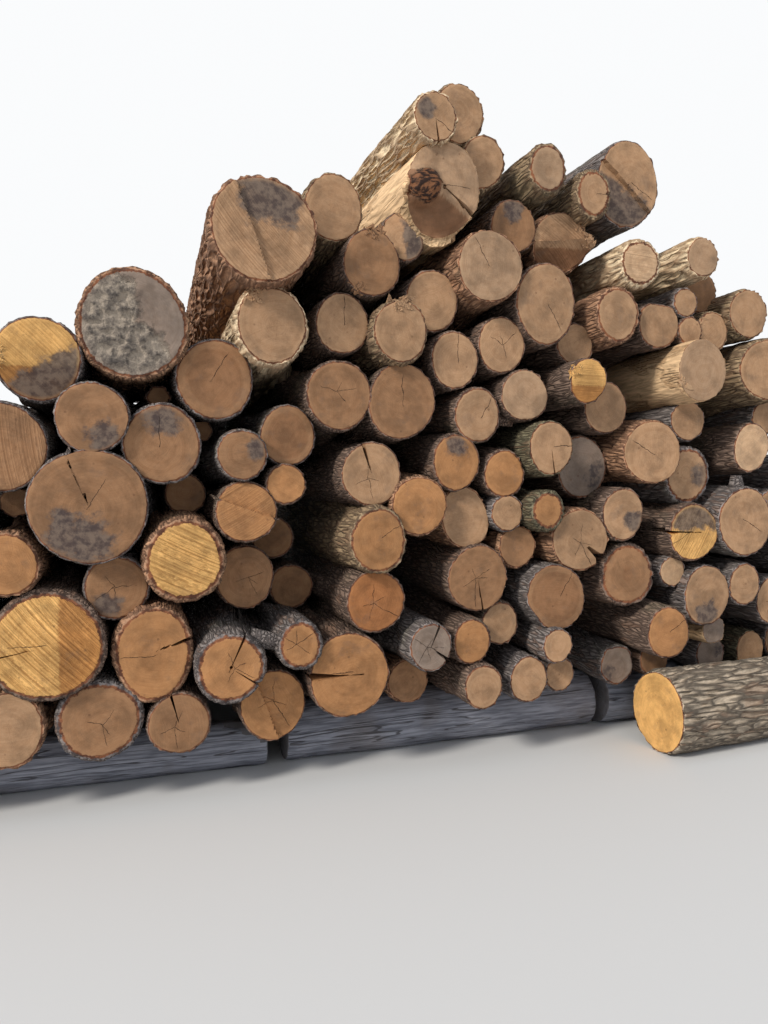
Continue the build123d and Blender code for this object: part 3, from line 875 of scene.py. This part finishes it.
class Tree:
    """A node tree with short calls for making and joining its nodes."""

    def __init__(self, tree):
        self.tree = tree

    def node(self, kind, *inputs, **settings):
        made = self.tree.nodes.new(kind)
        for key, value in settings.items():
            setattr(made, key, value)
        for socket, value in zip(made.inputs, inputs):
            self.set(socket, value)
        return made

    def set(self, socket, value):
        """Joins a socket to another node's output, or gives it a plain value."""
        if value is None:
            return
        if isinstance(value, bpy.types.NodeSocket):
            self.tree.links.new(value, socket)
        else:
            socket.default_value = value

    def fill(self, made, **values):
        """Sets a node's inputs by name, with _ for a space."""
        for name, value in values.items():
            self.set(made.inputs[name.replace("_", " ")], value)
        return made

    def math(self, operation, a, b=None, c=None):
        return self.node("ShaderNodeMath", a, b, c, operation=operation).outputs[0]

    def plus(self, a, b):
        return self.math("ADD", a, b)

    def minus(self, a, b):
        return self.math("SUBTRACT", a, b)

    def times(self, a, b):
        return self.math("MULTIPLY", a, b)

    def line(self, value, slope, start):
        return self.math("MULTIPLY_ADD", value, slope, start)

    def vector(self, operation, a, b=None):
        made = self.node("ShaderNodeVectorMath", a, b, operation=operation)
        return made.outputs["Value" if operation in ("LENGTH", "DOT_PRODUCT") else "Vector"]

    def scaled(self, vector, scale):
        made = self.node("ShaderNodeVectorMath", vector, operation="SCALE")
        return self.fill(made, Scale=scale).outputs["Vector"]

    def combine(self, x, y, z=0.0):
        return self.node("ShaderNodeCombineXYZ", x, y, z).outputs[0]

    def drawn(self, point, share):
        """A point whose pattern is drawn out along the log, or the same all along at 0."""
        return self.vector("MULTIPLY", point, (1.0, 1.0, share))

    def waves(self, point, scale, detail, rough=0.5, warp=0.0, output=0):
        made = self.node("ShaderNodeTexNoise")
        self.fill(made, Vector=point, Scale=scale, Detail=detail, Roughness=rough, Distortion=warp)
        return made.outputs[output]

    def noise(self, point, kind):
        """One of the named noises, 0 to 1."""
        return self.waves(point, *NOISES[kind])

    def sway(self, point, kind, size):
        """One of the named noises, to either side of 0."""
        return self.times(self.minus(self.noise(point, kind), 0.5), size)

    def shifts(self, point, kind, size):
        """One of the named noises as a shift of a point."""
        noise = self.waves(point, *NOISES[kind], output="Color")
        return self.scaled(self.vector("SUBTRACT", noise, (0.5, 0.5, 0.5)), size)

    def cells(self, point, scale, feature, output):
        made = self.node("ShaderNodeTexVoronoi", feature=feature)
        return self.fill(made, Vector=point, Scale=scale).outputs[output]

    def ramp(self, value, low, high, start=0.0, end=1.0):
        """A smooth step of a value from one level to another."""
        made = self.node("ShaderNodeMapRange", interpolation_type="SMOOTHSTEP")
        self.fill(made, Value=value, From_Min=low, From_Max=high, To_Min=start, To_Max=end)
        return made.outputs[0]

    def mix(self, share, a, b):
        made = self.node("ShaderNodeMix", data_type="RGBA", clamp_factor=True)
        for place, value in ((0, share), (6, a), (7, b)):
            self.set(made.inputs[place], value)
        return made.outputs[2]

    def between(self, value, low, high, a, b):
        """Two colours, mixed by the smooth step of a value."""
        return self.mix(self.ramp(value, low, high), a, b)

    def shade(self, share, colour, scale):
        """A colour, darker or brighter by a mask."""
        return self.mix(share, colour, self.scaled(colour, scale))

    def tint(self, share, colour, tint):
        """A colour, tinted by a mask."""
        return self.mix(share, colour, self.vector("MULTIPLY", colour, tint))

    def attribute(self, name, output="Vector"):
        return self.node("ShaderNodeAttribute", attribute_name=name).outputs[output]

    def channels(self, colour):
        return self.node("ShaderNodeSeparateColor", colour).outputs


FLOAT, VECTOR = "NodeSocketFloat", "NodeSocketVector"
GEOMETRY, OBJECT = "NodeSocketGeometry", "NodeSocketObject"


def new_group(name, inputs, outputs, kind="ShaderNodeTree"):
    """A node group with named inputs and outputs, as a tree to build in."""
    group = bpy.data.node_groups.new(name, kind)
    for label, socket_type, value in inputs:
        socket = group.interface.new_socket(label, in_out="INPUT", socket_type=socket_type)
        if value is not None:
            socket.default_value = value
    for label, socket_type in outputs:
        group.interface.new_socket(label, in_out="OUTPUT", socket_type=socket_type)
    tree = Tree(group)
    given = tree.node("NodeGroupInput").outputs
    result = tree.node("NodeGroupOutput").inputs
    return group, tree, given, result


def grain_point_group():
    """Where a point lies in its own log, shifted so that no two logs are alike."""
    outputs = [("Point", VECTOR), ("Plain", VECTOR)]
    group, tree, _, result = new_group("log_grain_point", [], outputs)
    plain = tree.attribute("grain_point")
    shift = shift_of(tree, tree.attribute("seed", "Fac"))
    tree.set(result["Point"], tree.vector("ADD", plain, shift))
    tree.set(result["Plain"], plain)
    return group


def shift_of(tree, seed):
    """A long step away for every log, so that its pattern is its own."""
    return tree.combine(*(tree.times(seed, size) for size in PATTERN_STEPS))


def add_fissures(tree, point, coarse):
    """Bark drawn out along the log: 0 in a furrow to 1 on a ridge, and where its plates lie."""
    drawn = tree.drawn(point, PLATE_DRAWN)
    bent = tree.vector("ADD", drawn, tree.shifts(drawn, "bent plates", PLATE_BEND))
    scale = tree.line(coarse, *PLATE_SCALE)
    gap = tree.cells(bent, scale, "DISTANCE_TO_EDGE", "Distance")
    return tree.ramp(gap, 0.0, FURROW_SHARE), bent, scale


def fissure_group():
    """Bark fissures as a height, and a value of its own for every plate."""
    inputs = [("Point", VECTOR, None), ("Coarse", FLOAT, 0.3)]
    outputs = [("Height", FLOAT), ("Plate", FLOAT)]
    group, tree, given, result = new_group("bark_fissures", inputs, outputs)
    height, bent, scale = add_fissures(tree, given["Point"], given["Coarse"])
    plates = tree.cells(bent, scale, "F1", "Color")
    tree.set(result["Height"], height)
    tree.set(result["Plate"], tree.channels(plates)[0])
    return group


def new_material(name):
    """A material and its empty node tree."""
    material = bpy.data.materials.new(name)
    material.use_nodes = True
    material.node_tree.nodes.clear()
    return material, Tree(material.node_tree)


def finish_material(tree, colour, roughness, height, depth, specular=0.25):
    """The shader of a material, from its colour, roughness and relief."""
    bump = tree.fill(tree.node("ShaderNodeBump"), Strength=1.0, Distance=depth, Height=height)
    shader = tree.node("ShaderNodeBsdfPrincipled")
    tree.fill(shader, Base_Color=colour, Roughness=roughness, Specular_IOR_Level=specular)
    tree.fill(shader, Normal=bump.outputs[0])
    tree.node("ShaderNodeOutputMaterial", shader.outputs[0])


def tone(name):
    """A named tone as a colour for a socket."""
    return (*linear(TONES[name]), 1)


def make_bark(groups):
    """Rough bark: ridges, furrows, flaked patches, algae and peeled stretches."""
    material, tree = new_material("rough_bark")
    point = tree.node("ShaderNodeGroup", node_tree=groups["grain"]).outputs["Point"]
    bark = tree.node("ShaderNodeGroup", node_tree=groups["fissures"])
    tree.fill(bark, Point=point, Coarse=tree.attribute("coarse", "Fac"))
    height, plate = bark.outputs["Height"], bark.outputs["Plate"]
    fibre = tree.noise(tree.drawn(point, 0.22), "bark fibre")
    grit = tree.noise(point, "bark grit")
    broad = tree.noise(tree.drawn(point, 0.5), "bark patches")
    ridge, furrow = tree.attribute("ridge", "Color"), tree.attribute("furrow", "Color")
    bright = tree.scaled(ridge, 1.28)
    lit = tree.between(fibre, 0.3, 0.72, tree.scaled(ridge, 0.68), bright)
    lit = tree.shade(tree.times(plate, 0.3), lit, 0.72)
    colour = tree.mix(height, tree.mix(0.22, furrow, lit), lit)
    colour = tree.shade(tree.ramp(broad, 0.35, 0.7, 0.0, 0.45), colour, 0.62)
    flaked = tree.times(tree.ramp(broad, 0.5, 0.58), tree.ramp(plate, 0.55, 0.62))
    colour = tree.mix(tree.times(flaked, 0.25), colour, tone("flaked bark"))
    damp = tree.ramp(tree.noise(point, "algae"), 0.55, 0.7, 0.0, 0.22)
    colour = tree.mix(damp, colour, tone("algae"))

    streaks = tree.noise(tree.drawn(point, 0.1), "bare streaks")
    bare = tree.between(streaks, 0.3, 0.7, tree.scaled(ridge, 0.78), bright)
    left_on = tree.ramp(tree.noise(tree.drawn(point, 0.4), "bark left on"), 0.5, 0.54)
    stripped = tree.times(tree.attribute("peeled", "Fac"), tree.minus(1.0, left_on))
    colour = tree.mix(stripped, colour, bare)
    relief = tree.plus(height, tree.times(fibre, 0.5))
    relief = tree.plus(relief, tree.times(grit, 0.12))
    relief = tree.times(relief, tree.line(stripped, -0.7, 1.0))
    finish_material(tree, colour, tree.ramp(fibre, 0.2, 0.8, 0.82, 0.96), relief, 0.009)
    return material


def add_ray(tree, at, turn, bend, width, reach):
    """A crack that runs out from the pith, as a mask."""
    cosine, sine = tree.math("COSINE", turn), tree.math("SINE", turn)
    along = tree.vector("DOT_PRODUCT", at, tree.combine(cosine, sine))
    off = tree.vector("DOT_PRODUCT", at, tree.combine(tree.times(sine, -1.0), cosine))
    off = tree.math("ABSOLUTE", tree.plus(off, bend))
    line = tree.ramp(off, tree.times(width, 0.35), width, 1.0, 0.0)
    fade = tree.ramp(along, 0.8 * reach, reach, 1.0, 0.0)
    return tree.times(line, tree.times(tree.ramp(along, -0.004, 0.004), fade))


def add_cracks(tree, straight, seed, point, mottle, star):
    """The main crack and the star of checks round the pith, as a mask."""
    turn = tree.attribute("crack_turn", "Fac")
    wobble = tree.sway(point, "crack wobble", 0.028)
    width = tree.line(mottle, 0.004, -0.0004)
    main = add_ray(tree, straight, turn, wobble, width, MAIN_CRACK)
    crack = tree.times(main, tree.attribute("crack", "Fac"))
    for number, (step, reach) in enumerate(STAR_RAYS):
        sway = tree.times(tree.math("SINE", tree.times(seed, 1.3 + number)), 0.5)
        own = tree.plus(tree.plus(turn, step), sway)
        ray = add_ray(tree, straight, own, wobble, tree.times(width, 0.7), reach)
        crack = tree.math("MAXIMUM", crack, tree.times(ray, tree.line(star, 0.9, 0.1)))
    return crack


def add_saw_marks(tree, straight, seed, mottle, torn):
    """The sweeps of a saw, or the torn grain where a log was ripped."""
    turn = tree.times(seed, 1.7)
    far = tree.combine(tree.math("COSINE", turn), tree.math("SINE", turn))
    far = tree.scaled(far, tree.line(torn, 1.2, 0.4))
    swing = tree.vector("LENGTH", tree.vector("SUBTRACT", straight, far))
    swing = tree.math("DIVIDE", swing, tree.line(torn, 0.35, 1.0))
    return tree.noise(tree.combine(swing, seed, tree.times(mottle, 0.01)), "saw marks")


def make_sawn_end(groups):
    """A sawn end: rings, heartwood, saw marks, checks, stains, painted shade and the bark's edge.
    """
    material, tree = new_material("sawn_end")
    where = tree.node("ShaderNodeGroup", node_tree=groups["grain"]).outputs
    point, plain = where["Point"], where["Plain"]
    seed, rim = tree.attribute("seed", "Fac"), tree.attribute("rim", "Fac")
    star, torn, muddy = tree.channels(tree.attribute("marks", "Color"))
    heart = tree.attribute("marks", "Alpha")
    across = tree.times(tree.math("SINE", tree.times(seed, 2.3)), PITH_OFF)
    rise = tree.times(tree.math("COSINE", tree.times(seed, 3.1)), PITH_OFF)
    straight = tree.vector("SUBTRACT", tree.drawn(plain, 0.0), tree.combine(across, rise))
    bent = tree.vector("ADD", straight, tree.shifts(point, "bent rings", 0.035))
    out = tree.vector("LENGTH", tree.drawn(bent, 0.0))

    # Sapwood, rings and heartwood
    ring_place = tree.combine(out, tree.times(seed, 5.0))
    rings, bands = tree.noise(ring_place, "growth rings"), tree.noise(ring_place, "ring bands")
    broad, mottle = tree.noise(point, "broad tone"), tree.noise(point, "mottle")
    speck = tree.noise(point, "specks")
    wood = tree.attribute("wood", "Color")
    colour = tree.between(broad, 0.34, 0.64, tree.scaled(wood, 0.8), tree.scaled(wood, 1.22))
    colour = tree.tint(tree.ramp(mottle, 0.38, 0.66, 0.0, 0.3), colour, (0.74, 0.66, 0.58))
    colour = tree.tint(tree.ramp(bands, 0.4, 0.66, 0.0, 0.34), colour, (0.76, 0.7, 0.64))
    colour = tree.shade(tree.ramp(rings, 0.42, 0.62, 0.0, 0.24), colour, 0.66)
    colour = tree.shade(tree.ramp(speck, 0.4, 0.7, 0.0, 0.22), colour, 1.35)
    inner = tree.plus(rim, tree.times(tree.minus(broad, 0.5), 0.09))
    core = tree.times(tree.ramp(inner, 0.05, 0.062), tree.line(heart, 0.26, 0.06))
    colour = tree.tint(core, colour, (0.66, 0.52, 0.44))

    # Saw marks, then spots, stains and painted side shade, mud, the torn pit and cracks
    saw = add_saw_marks(tree, straight, seed, mottle, torn)
    marked = tree.times(tree.ramp(saw, 0.45, 0.64), tree.line(torn, 0.34, 0.12))
    colour = tree.tint(marked, colour, (0.62, 0.54, 0.46))
    pale = tree.times(tree.ramp(saw, 0.5, 0.36), tree.line(torn, 0.3, 0.06))
    colour = tree.shade(pale, colour, 1.5)
    crack = add_cracks(tree, straight, seed, point, mottle, star)
    spots = tree.cells(tree.drawn(point, 0.0), 11.0, "F1", "Distance")
    knots = tree.ramp(tree.plus(spots, tree.times(mottle, 0.05)), 0.06, 0.12, 0.5, 0.0)
    colour = tree.mix(knots, colour, tone("knot"))
    blots = tree.noise(tree.vector("ADD", point, (2.0, 5.0, 0.0)), "blots")
    blot_sway = tree.minus(blots, 0.5)
    # The stain area also holds the painted shade of a greyed side, drawn in the stain tones
    area = tree.attribute("stain", "Fac")
    stain = tree.ramp(tree.plus(area, tree.times(blot_sway, 1.5)), 0.3, 0.65, 0.0, 0.88)
    stain_and_side_shade_tone = tree.between(mottle, 0.36, 0.64, tone("dark stain and side shade"), tone("pale stain and side shade"))
    colour = tree.mix(tree.times(stain, tree.minus(1.0, muddy)), colour, stain_and_side_shade_tone)
    weather = tree.noise(tree.vector("ADD", point, (4.0, 9.0, 0.0)), "weathering")
    colour = tree.mix(tree.ramp(weather, 0.56, 0.68, 0.0, 0.22), colour, tone("weathering"))
    clods = tree.noise(point, "mud clods")
    mud = tree.times(tree.ramp(tree.plus(area, tree.times(blots, 0.8)), 0.5, 0.7), muddy)
    # Mud in its own pale tone on the clods, painted dark as shade in the hollows between them
    mud_and_hollow_shade_tone = tree.between(clods, 0.34, 0.62, tone("mud hollow shade"), tone("dry mud"))
    colour = tree.mix(tree.times(mud, 0.95), colour, mud_and_hollow_shade_tone)
    pit = tree.plus(tree.attribute("pit", "Fac"), tree.times(blot_sway, 1.6))
    pit = tree.ramp(pit, 0.32, 0.5)
    shreds = tree.noise(tree.vector("MULTIPLY", point, (0.3, 1.0, 1.0)), "torn shreds")
    # The torn shreds' own tone, painted nearly black as shade in the low places of the pit
    shred_and_pit_shade_tone = tree.between(shreds, 0.45, 0.6, tone("torn pit shade"), tone("torn shred"))
    colour = tree.mix(pit, colour, shred_and_pit_shade_tone)
    colour = tree.mix(tree.times(crack, 0.92), colour, tone("crack"))
    colour = tree.mix(tree.ramp(rim, 0.014, 0.034, 0.3, 0.0), colour, tree.scaled(wood, 1.25))

    # The inner and outer bark at the edge
    from_edge = tree.plus(rim, tree.sway(point, "ragged rim", 0.016))
    inner_bark = tree.ramp(from_edge, 0.0115, 0.0145, 1.0, 0.0)
    outer_bark = tree.ramp(from_edge, 0.003, 0.0085, 1.0, 0.0)
    red = tree.between(mottle, 0.4, 0.6, tone("dark inner bark"), tone("pale inner bark"))
    colour = tree.mix(inner_bark, colour, red)
    furrow, ridge = tree.attribute("furrow", "Color"), tree.attribute("ridge", "Color")
    colour = tree.mix(outer_bark, colour, tree.between(mottle, 0.4, 0.6, furrow, ridge))

    height = tree.times(saw, tree.line(torn, 0.9, 0.25))
    deep_mud, deep_shreds = tree.times(clods, 7.0), tree.times(shreds, 2.5)
    marks = ((crack, -1.2), (speck, 0.25), (inner_bark, mottle))
    for mask, size in (*marks, (mud, deep_mud), (pit, deep_shreds)):
        height = tree.plus(height, tree.times(mask, size))
    finish_material(tree, colour, tree.ramp(broad, 0.2, 0.8, 0.7, 0.88), height, 0.004)
    return material


def make_splinter():
    """Torn fibres and slivers of bark at a log's end."""
    material, tree = new_material("torn_splinters")
    fibre = tree.noise(tree.node("ShaderNodeTexCoord").outputs["Object"], "torn fibre")
    wood, furrow = tree.attribute("wood", "Color"), tree.attribute("furrow", "Color")
    dark, bright = tree.mix(0.5, wood, furrow), tree.scaled(wood, 1.3)
    colour = tree.between(fibre, 0.4, 0.62, dark, bright)
    finish_material(tree, colour, 0.85, fibre, 0.002)
    return material


def make_weathered(groups):
    """Old barkless wood: silver-grey, with long cracks and darker damp stretches."""
    material, tree = new_material("weathered_wood")
    point = tree.node("ShaderNodeGroup", node_tree=groups["grain"]).outputs["Point"]
    fibre = tree.noise(tree.drawn(point, 0.07), "old grain")
    split = tree.noise(tree.drawn(point, 0.05), "old cracks")
    crack = tree.ramp(tree.math("ABSOLUTE", tree.minus(split, 0.5)), 0.003, 0.012, 0.75, 0.0)
    damp = tree.ramp(tree.noise(point, "damp stretches"), 0.5, 0.7, 0.0, 0.4)
    # The grey is set darker and bluer than the weathered wood, as painted shade
    colour = tree.between(fibre, 0.3, 0.7, tone("grey wood in painted shade"), tone("silver wood in painted shade"))
    colour = tree.mix(damp, colour, tone("damp wood"))
    colour = tree.mix(crack, colour, tone("old crack"))
    height = tree.minus(tree.times(fibre, 0.6), crack)
    roughness = tree.ramp(fibre, 0.2, 0.8, 0.75, 0.9)
    finish_material(tree, colour, roughness, height, 0.006, specular=0.3)
    return material


def bark_relief_tree(splinter):
    """Geometry nodes that work relief into a skin and stand splinters on it."""
    inputs = [("Skin", GEOMETRY, None), ("Sliver", OBJECT, None)]
    inputs += [(label, FLOAT, value) for label, value in RELIEF_SIZES.items()]
    outputs = [("Skin", GEOMETRY)]
    group, tree, given, result = new_group("log_relief", inputs, outputs, "GeometryNodeTree")

    def named(label, kind="FLOAT"):
        """A value that the skin carries."""
        return tree.node("GeometryNodeInputNamedAttribute", label, data_type=kind).outputs[0]

    def chance(lowest, highest, seed):
        made = tree.node("FunctionNodeRandomValue", lowest, highest, data_type="FLOAT_VECTOR")
        return tree.fill(made, Seed=seed).outputs[0]

    def swells(place, scale, detail, depth):
        return tree.times(tree.minus(tree.waves(place, given[scale], detail), 0.5), given[depth])

    shift = shift_of(tree, named("seed"))
    point = tree.vector("ADD", named("grain_point", "FLOAT_VECTOR"), shift)
    coarse = named("coarse")
    height = add_fissures(tree, point, coarse)[0]
    furrow = tree.times(tree.minus(height, 0.75), given["Furrow depth"])
    furrow = tree.times(furrow, tree.line(coarse, 0.8, 0.2))
    furrow = tree.times(furrow, tree.line(named("peeled"), -0.85, 1.0))
    lump = swells(tree.drawn(point, 0.4), "Lump scale", 3.0, "Lump depth")
    bark = tree.times(tree.plus(furrow, lump), named("relief"))
    mud = tree.node("ShaderNodeSeparateXYZ", named("marks", "FLOAT_COLOR")).outputs[2]
    mud = tree.times(mud, tree.ramp(named("stain"), -0.1, 0.4))
    mud = tree.times(mud, tree.ramp(named("rim"), 0.01, 0.03))
    ends = tree.times(swells(point, "Clod scale", 4.0, "Clod depth"), mud)
    hollow = tree.times(tree.ramp(named("pit"), 0.1, 0.6), given["Pit depth"])
    amount = tree.minus(tree.plus(bark, ends), hollow)
    normal = tree.node("GeometryNodeInputNormal").outputs[0]
    move = tree.node("GeometryNodeSetPosition", given["Skin"])
    tree.fill(move, Offset=tree.scaled(normal, amount))

    density = tree.times(tree.ramp(named("splinters"), 0.1, 0.7), given["Splinters per area"])
    strewn = tree.node("GeometryNodeDistributePointsOnFaces", move.outputs[0])
    tree.fill(strewn, Density=density, Seed=7)
    lean = tree.scaled(strewn.outputs["Normal"], 0.4)
    lean = tree.vector("ADD", lean, chance(*SLIVER_LEANS, 3))
    aim = tree.fill(tree.node("FunctionNodeAlignRotationToVector", axis="Z"), Vector=lean)
    sliver = tree.node("GeometryNodeObjectInfo", given["Sliver"]).outputs["Geometry"]
    stand = tree.node("GeometryNodeInstanceOnPoints", strewn.outputs["Points"])
    tree.fill(stand, Instance=sliver, Rotation=aim.outputs[0], Scale=chance(*SLIVER_SIZES, 5))
    real = tree.node("GeometryNodeRealizeInstances", stand.outputs[0])
    dressed = tree.fill(tree.node("GeometryNodeSetMaterial", real.outputs[0]), Material=splinter)
    joined = tree.node("GeometryNodeJoinGeometry")
    for part in (dressed, move):
        group.links.new(part.outputs[0], joined.inputs[0])
    tree.set(result[0], joined.outputs[0])
    return group


def make_sliver(material):
    """A closed, bent and tapered sliver, one unit long, that the splinters repeat."""
    points, faces = [], []
    for level, width, shift in SLIVER_SECTIONS:
        for x, y in ((-0.5, -0.5), (0.5, -0.5), (0.5, 0.5), (-0.5, 0.5)):
            points.append((x * width + shift, y * width, level))
    points.append(SLIVER_TIP)
    faces.append((3, 2, 1, 0))
    for low in (0, 4):
        for side in range(4):
            following = (side + 1) % 4
            faces.append((low + side, low + following, low + 4 + following, low + 4 + side))
    for side in range(4):
        faces.append((8 + side, 8 + (side + 1) % 4, 12))
    mesh = bpy.data.meshes.new("sliver")
    mesh.from_pydata(points, [], faces)
    mesh.materials.append(material)
    return bpy.data.objects.new("sliver", mesh)


def with_relief(mesh, group, name, sliver):
    """The mesh with the relief worked into its points."""
    carrier = bpy.data.objects.new(name + "_carrier", mesh)
    bpy.context.scene.collection.objects.link(carrier)
    modifier = carrier.modifiers.new("log_relief", "NODES")
    modifier.node_group = group
    inputs = (item for item in group.interface.items_tree if item.in_out == "INPUT")
    sockets = {item.name: item.identifier for item in inputs}
    modifier[sockets["Sliver"]] = sliver
    for label, value in RELIEF_SIZES.items():
        modifier[sockets[label]] = value
    graph = bpy.context.evaluated_depsgraph_get()
    shaped = carrier.evaluated_get(graph)
    result = bpy.data.meshes.new_from_object(
        shaped, preserve_all_data_layers=True, depsgraph=graph
    )
    bpy.data.objects.remove(carrier)
    for vertex in result.vertices:
        vertex.co.z = max(vertex.co.z, ABOVE_GROUND)
    result.set_sharp_from_angle(angle=SMOOTH_TO)
    return result


def dress_nodes(logs, materials):
    """One dressed piece for every node of the frame."""
    shown = open_logs(logs)
    heap = whole_heap(logs)
    sliver = make_sliver(materials["splinter"])
    relief = bark_relief_tree(materials["splinter"])
    for name, group in logs.items():
        skin = Skin()
        for log in group:
            skin_log(skin, log, log in shown, heap)
        mesh = mesh_of(skin, name + "_skin")
        weathered = "bearer" in name
        mesh.materials.append(materials["weathered" if weathered else "bark"])
        mesh.materials.append(materials["sawn"])
        mesh.polygons.foreach_set("material_index", skin.materials)
        mesh = with_relief(mesh, relief, name, sliver)
        piece = bpy.data.objects.new("dressed_" + name, mesh)
        bpy.context.scene.collection.objects.link(piece)
        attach(piece, "root")
        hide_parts(name)
    bpy.data.objects.remove(sliver)


def add_camera():
    """The view that the photograph was taken in."""
    data = bpy.data.cameras.new("view")
    data.lens = LENS
    data.sensor_width = SENSOR_WIDTH
    data.clip_end = SEEN_TO
    camera = bpy.data.objects.new("view", data)
    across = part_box("front_bearer_middle")[0].x + CAMERA_FROM_MIDDLE_BEARER
    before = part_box("front_bearer_left")[0].y - CAMERA_BEFORE_BEARER
    camera.location = (across, before, CAMERA_HEIGHT)
    camera.rotation_euler = (math.pi / 2 - CAMERA_DIP, 0, -CAMERA_TURN)
    bpy.context.scene.collection.objects.link(camera)
    bpy.context.scene.camera = camera


def add_floor():
    """A wide pale floor for the heap to stand on."""
    mesh = bpy.data.meshes.new("floor")
    far = FLOOR_REACH
    corners = [(-far, -far, 0), (far, -far, 0), (far, far, 0), (-far, far, 0)]
    mesh.from_pydata(corners, [], [(0, 1, 2, 3)])
    floor = bpy.data.objects.new("floor", mesh)
    bpy.context.scene.collection.objects.link(floor)
    material = bpy.data.materials.new("pale_floor")
    material.use_nodes = True
    shader = material.node_tree.nodes["Principled BSDF"]
    shader.inputs["Base Color"].default_value = FLOOR_TONE
    shader.inputs["Roughness"].default_value = FLOOR_ROUGHNESS
    shader.inputs["Specular IOR Level"].default_value = FLOOR_SHEEN
    mesh.materials.append(material)


def add_light():
    """A low warm sun from the left, and soft light from all round."""
    world = bpy.data.worlds.new("studio")
    world.use_nodes = True
    tree = Tree(world.node_tree)
    world.node_tree.nodes.clear()
    rays = tree.node("ShaderNodeLightPath").outputs
    seen = tree.math("MAXIMUM", rays["Is Glossy Ray"], rays["Is Transmission Ray"])
    seen = tree.math("MAXIMUM", rays["Is Camera Ray"], seen)
    soft = tree.node("ShaderNodeBackground", *SOFT_LIGHT).outputs[0]
    white = tree.node("ShaderNodeBackground", *BACKDROP).outputs[0]
    both = tree.node("ShaderNodeMixShader", seen, soft, white)
    tree.node("ShaderNodeOutputWorld", both.outputs[0])
    bpy.context.scene.world = world
    sun = bpy.data.lights.new("key", "SUN")
    sun.energy = SUN_STRENGTH
    sun.angle = SUN_BREADTH
    sun.color = SUN_COLOUR
    key = bpy.data.objects.new("key", sun)
    key.rotation_euler = Vector(SUN_FROM).to_track_quat("Z", "Y").to_euler()
    bpy.context.scene.collection.objects.link(key)


def main():
    """Builds the materials, the logs, the floor, the light and the camera."""
    scene = bpy.context.scene
    scene.view_settings.view_transform = "Standard"
    groups = {"grain": grain_point_group(), "fissures": fissure_group()}
    materials = {
        "bark": make_bark(groups),
        "sawn": make_sawn_end(groups),
        "weathered": make_weathered(groups),
        "splinter": make_splinter(),
    }
    logs = read_logs()
    dress_nodes(logs, materials)
    add_floor()
    add_light()
    add_camera()
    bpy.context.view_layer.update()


main()
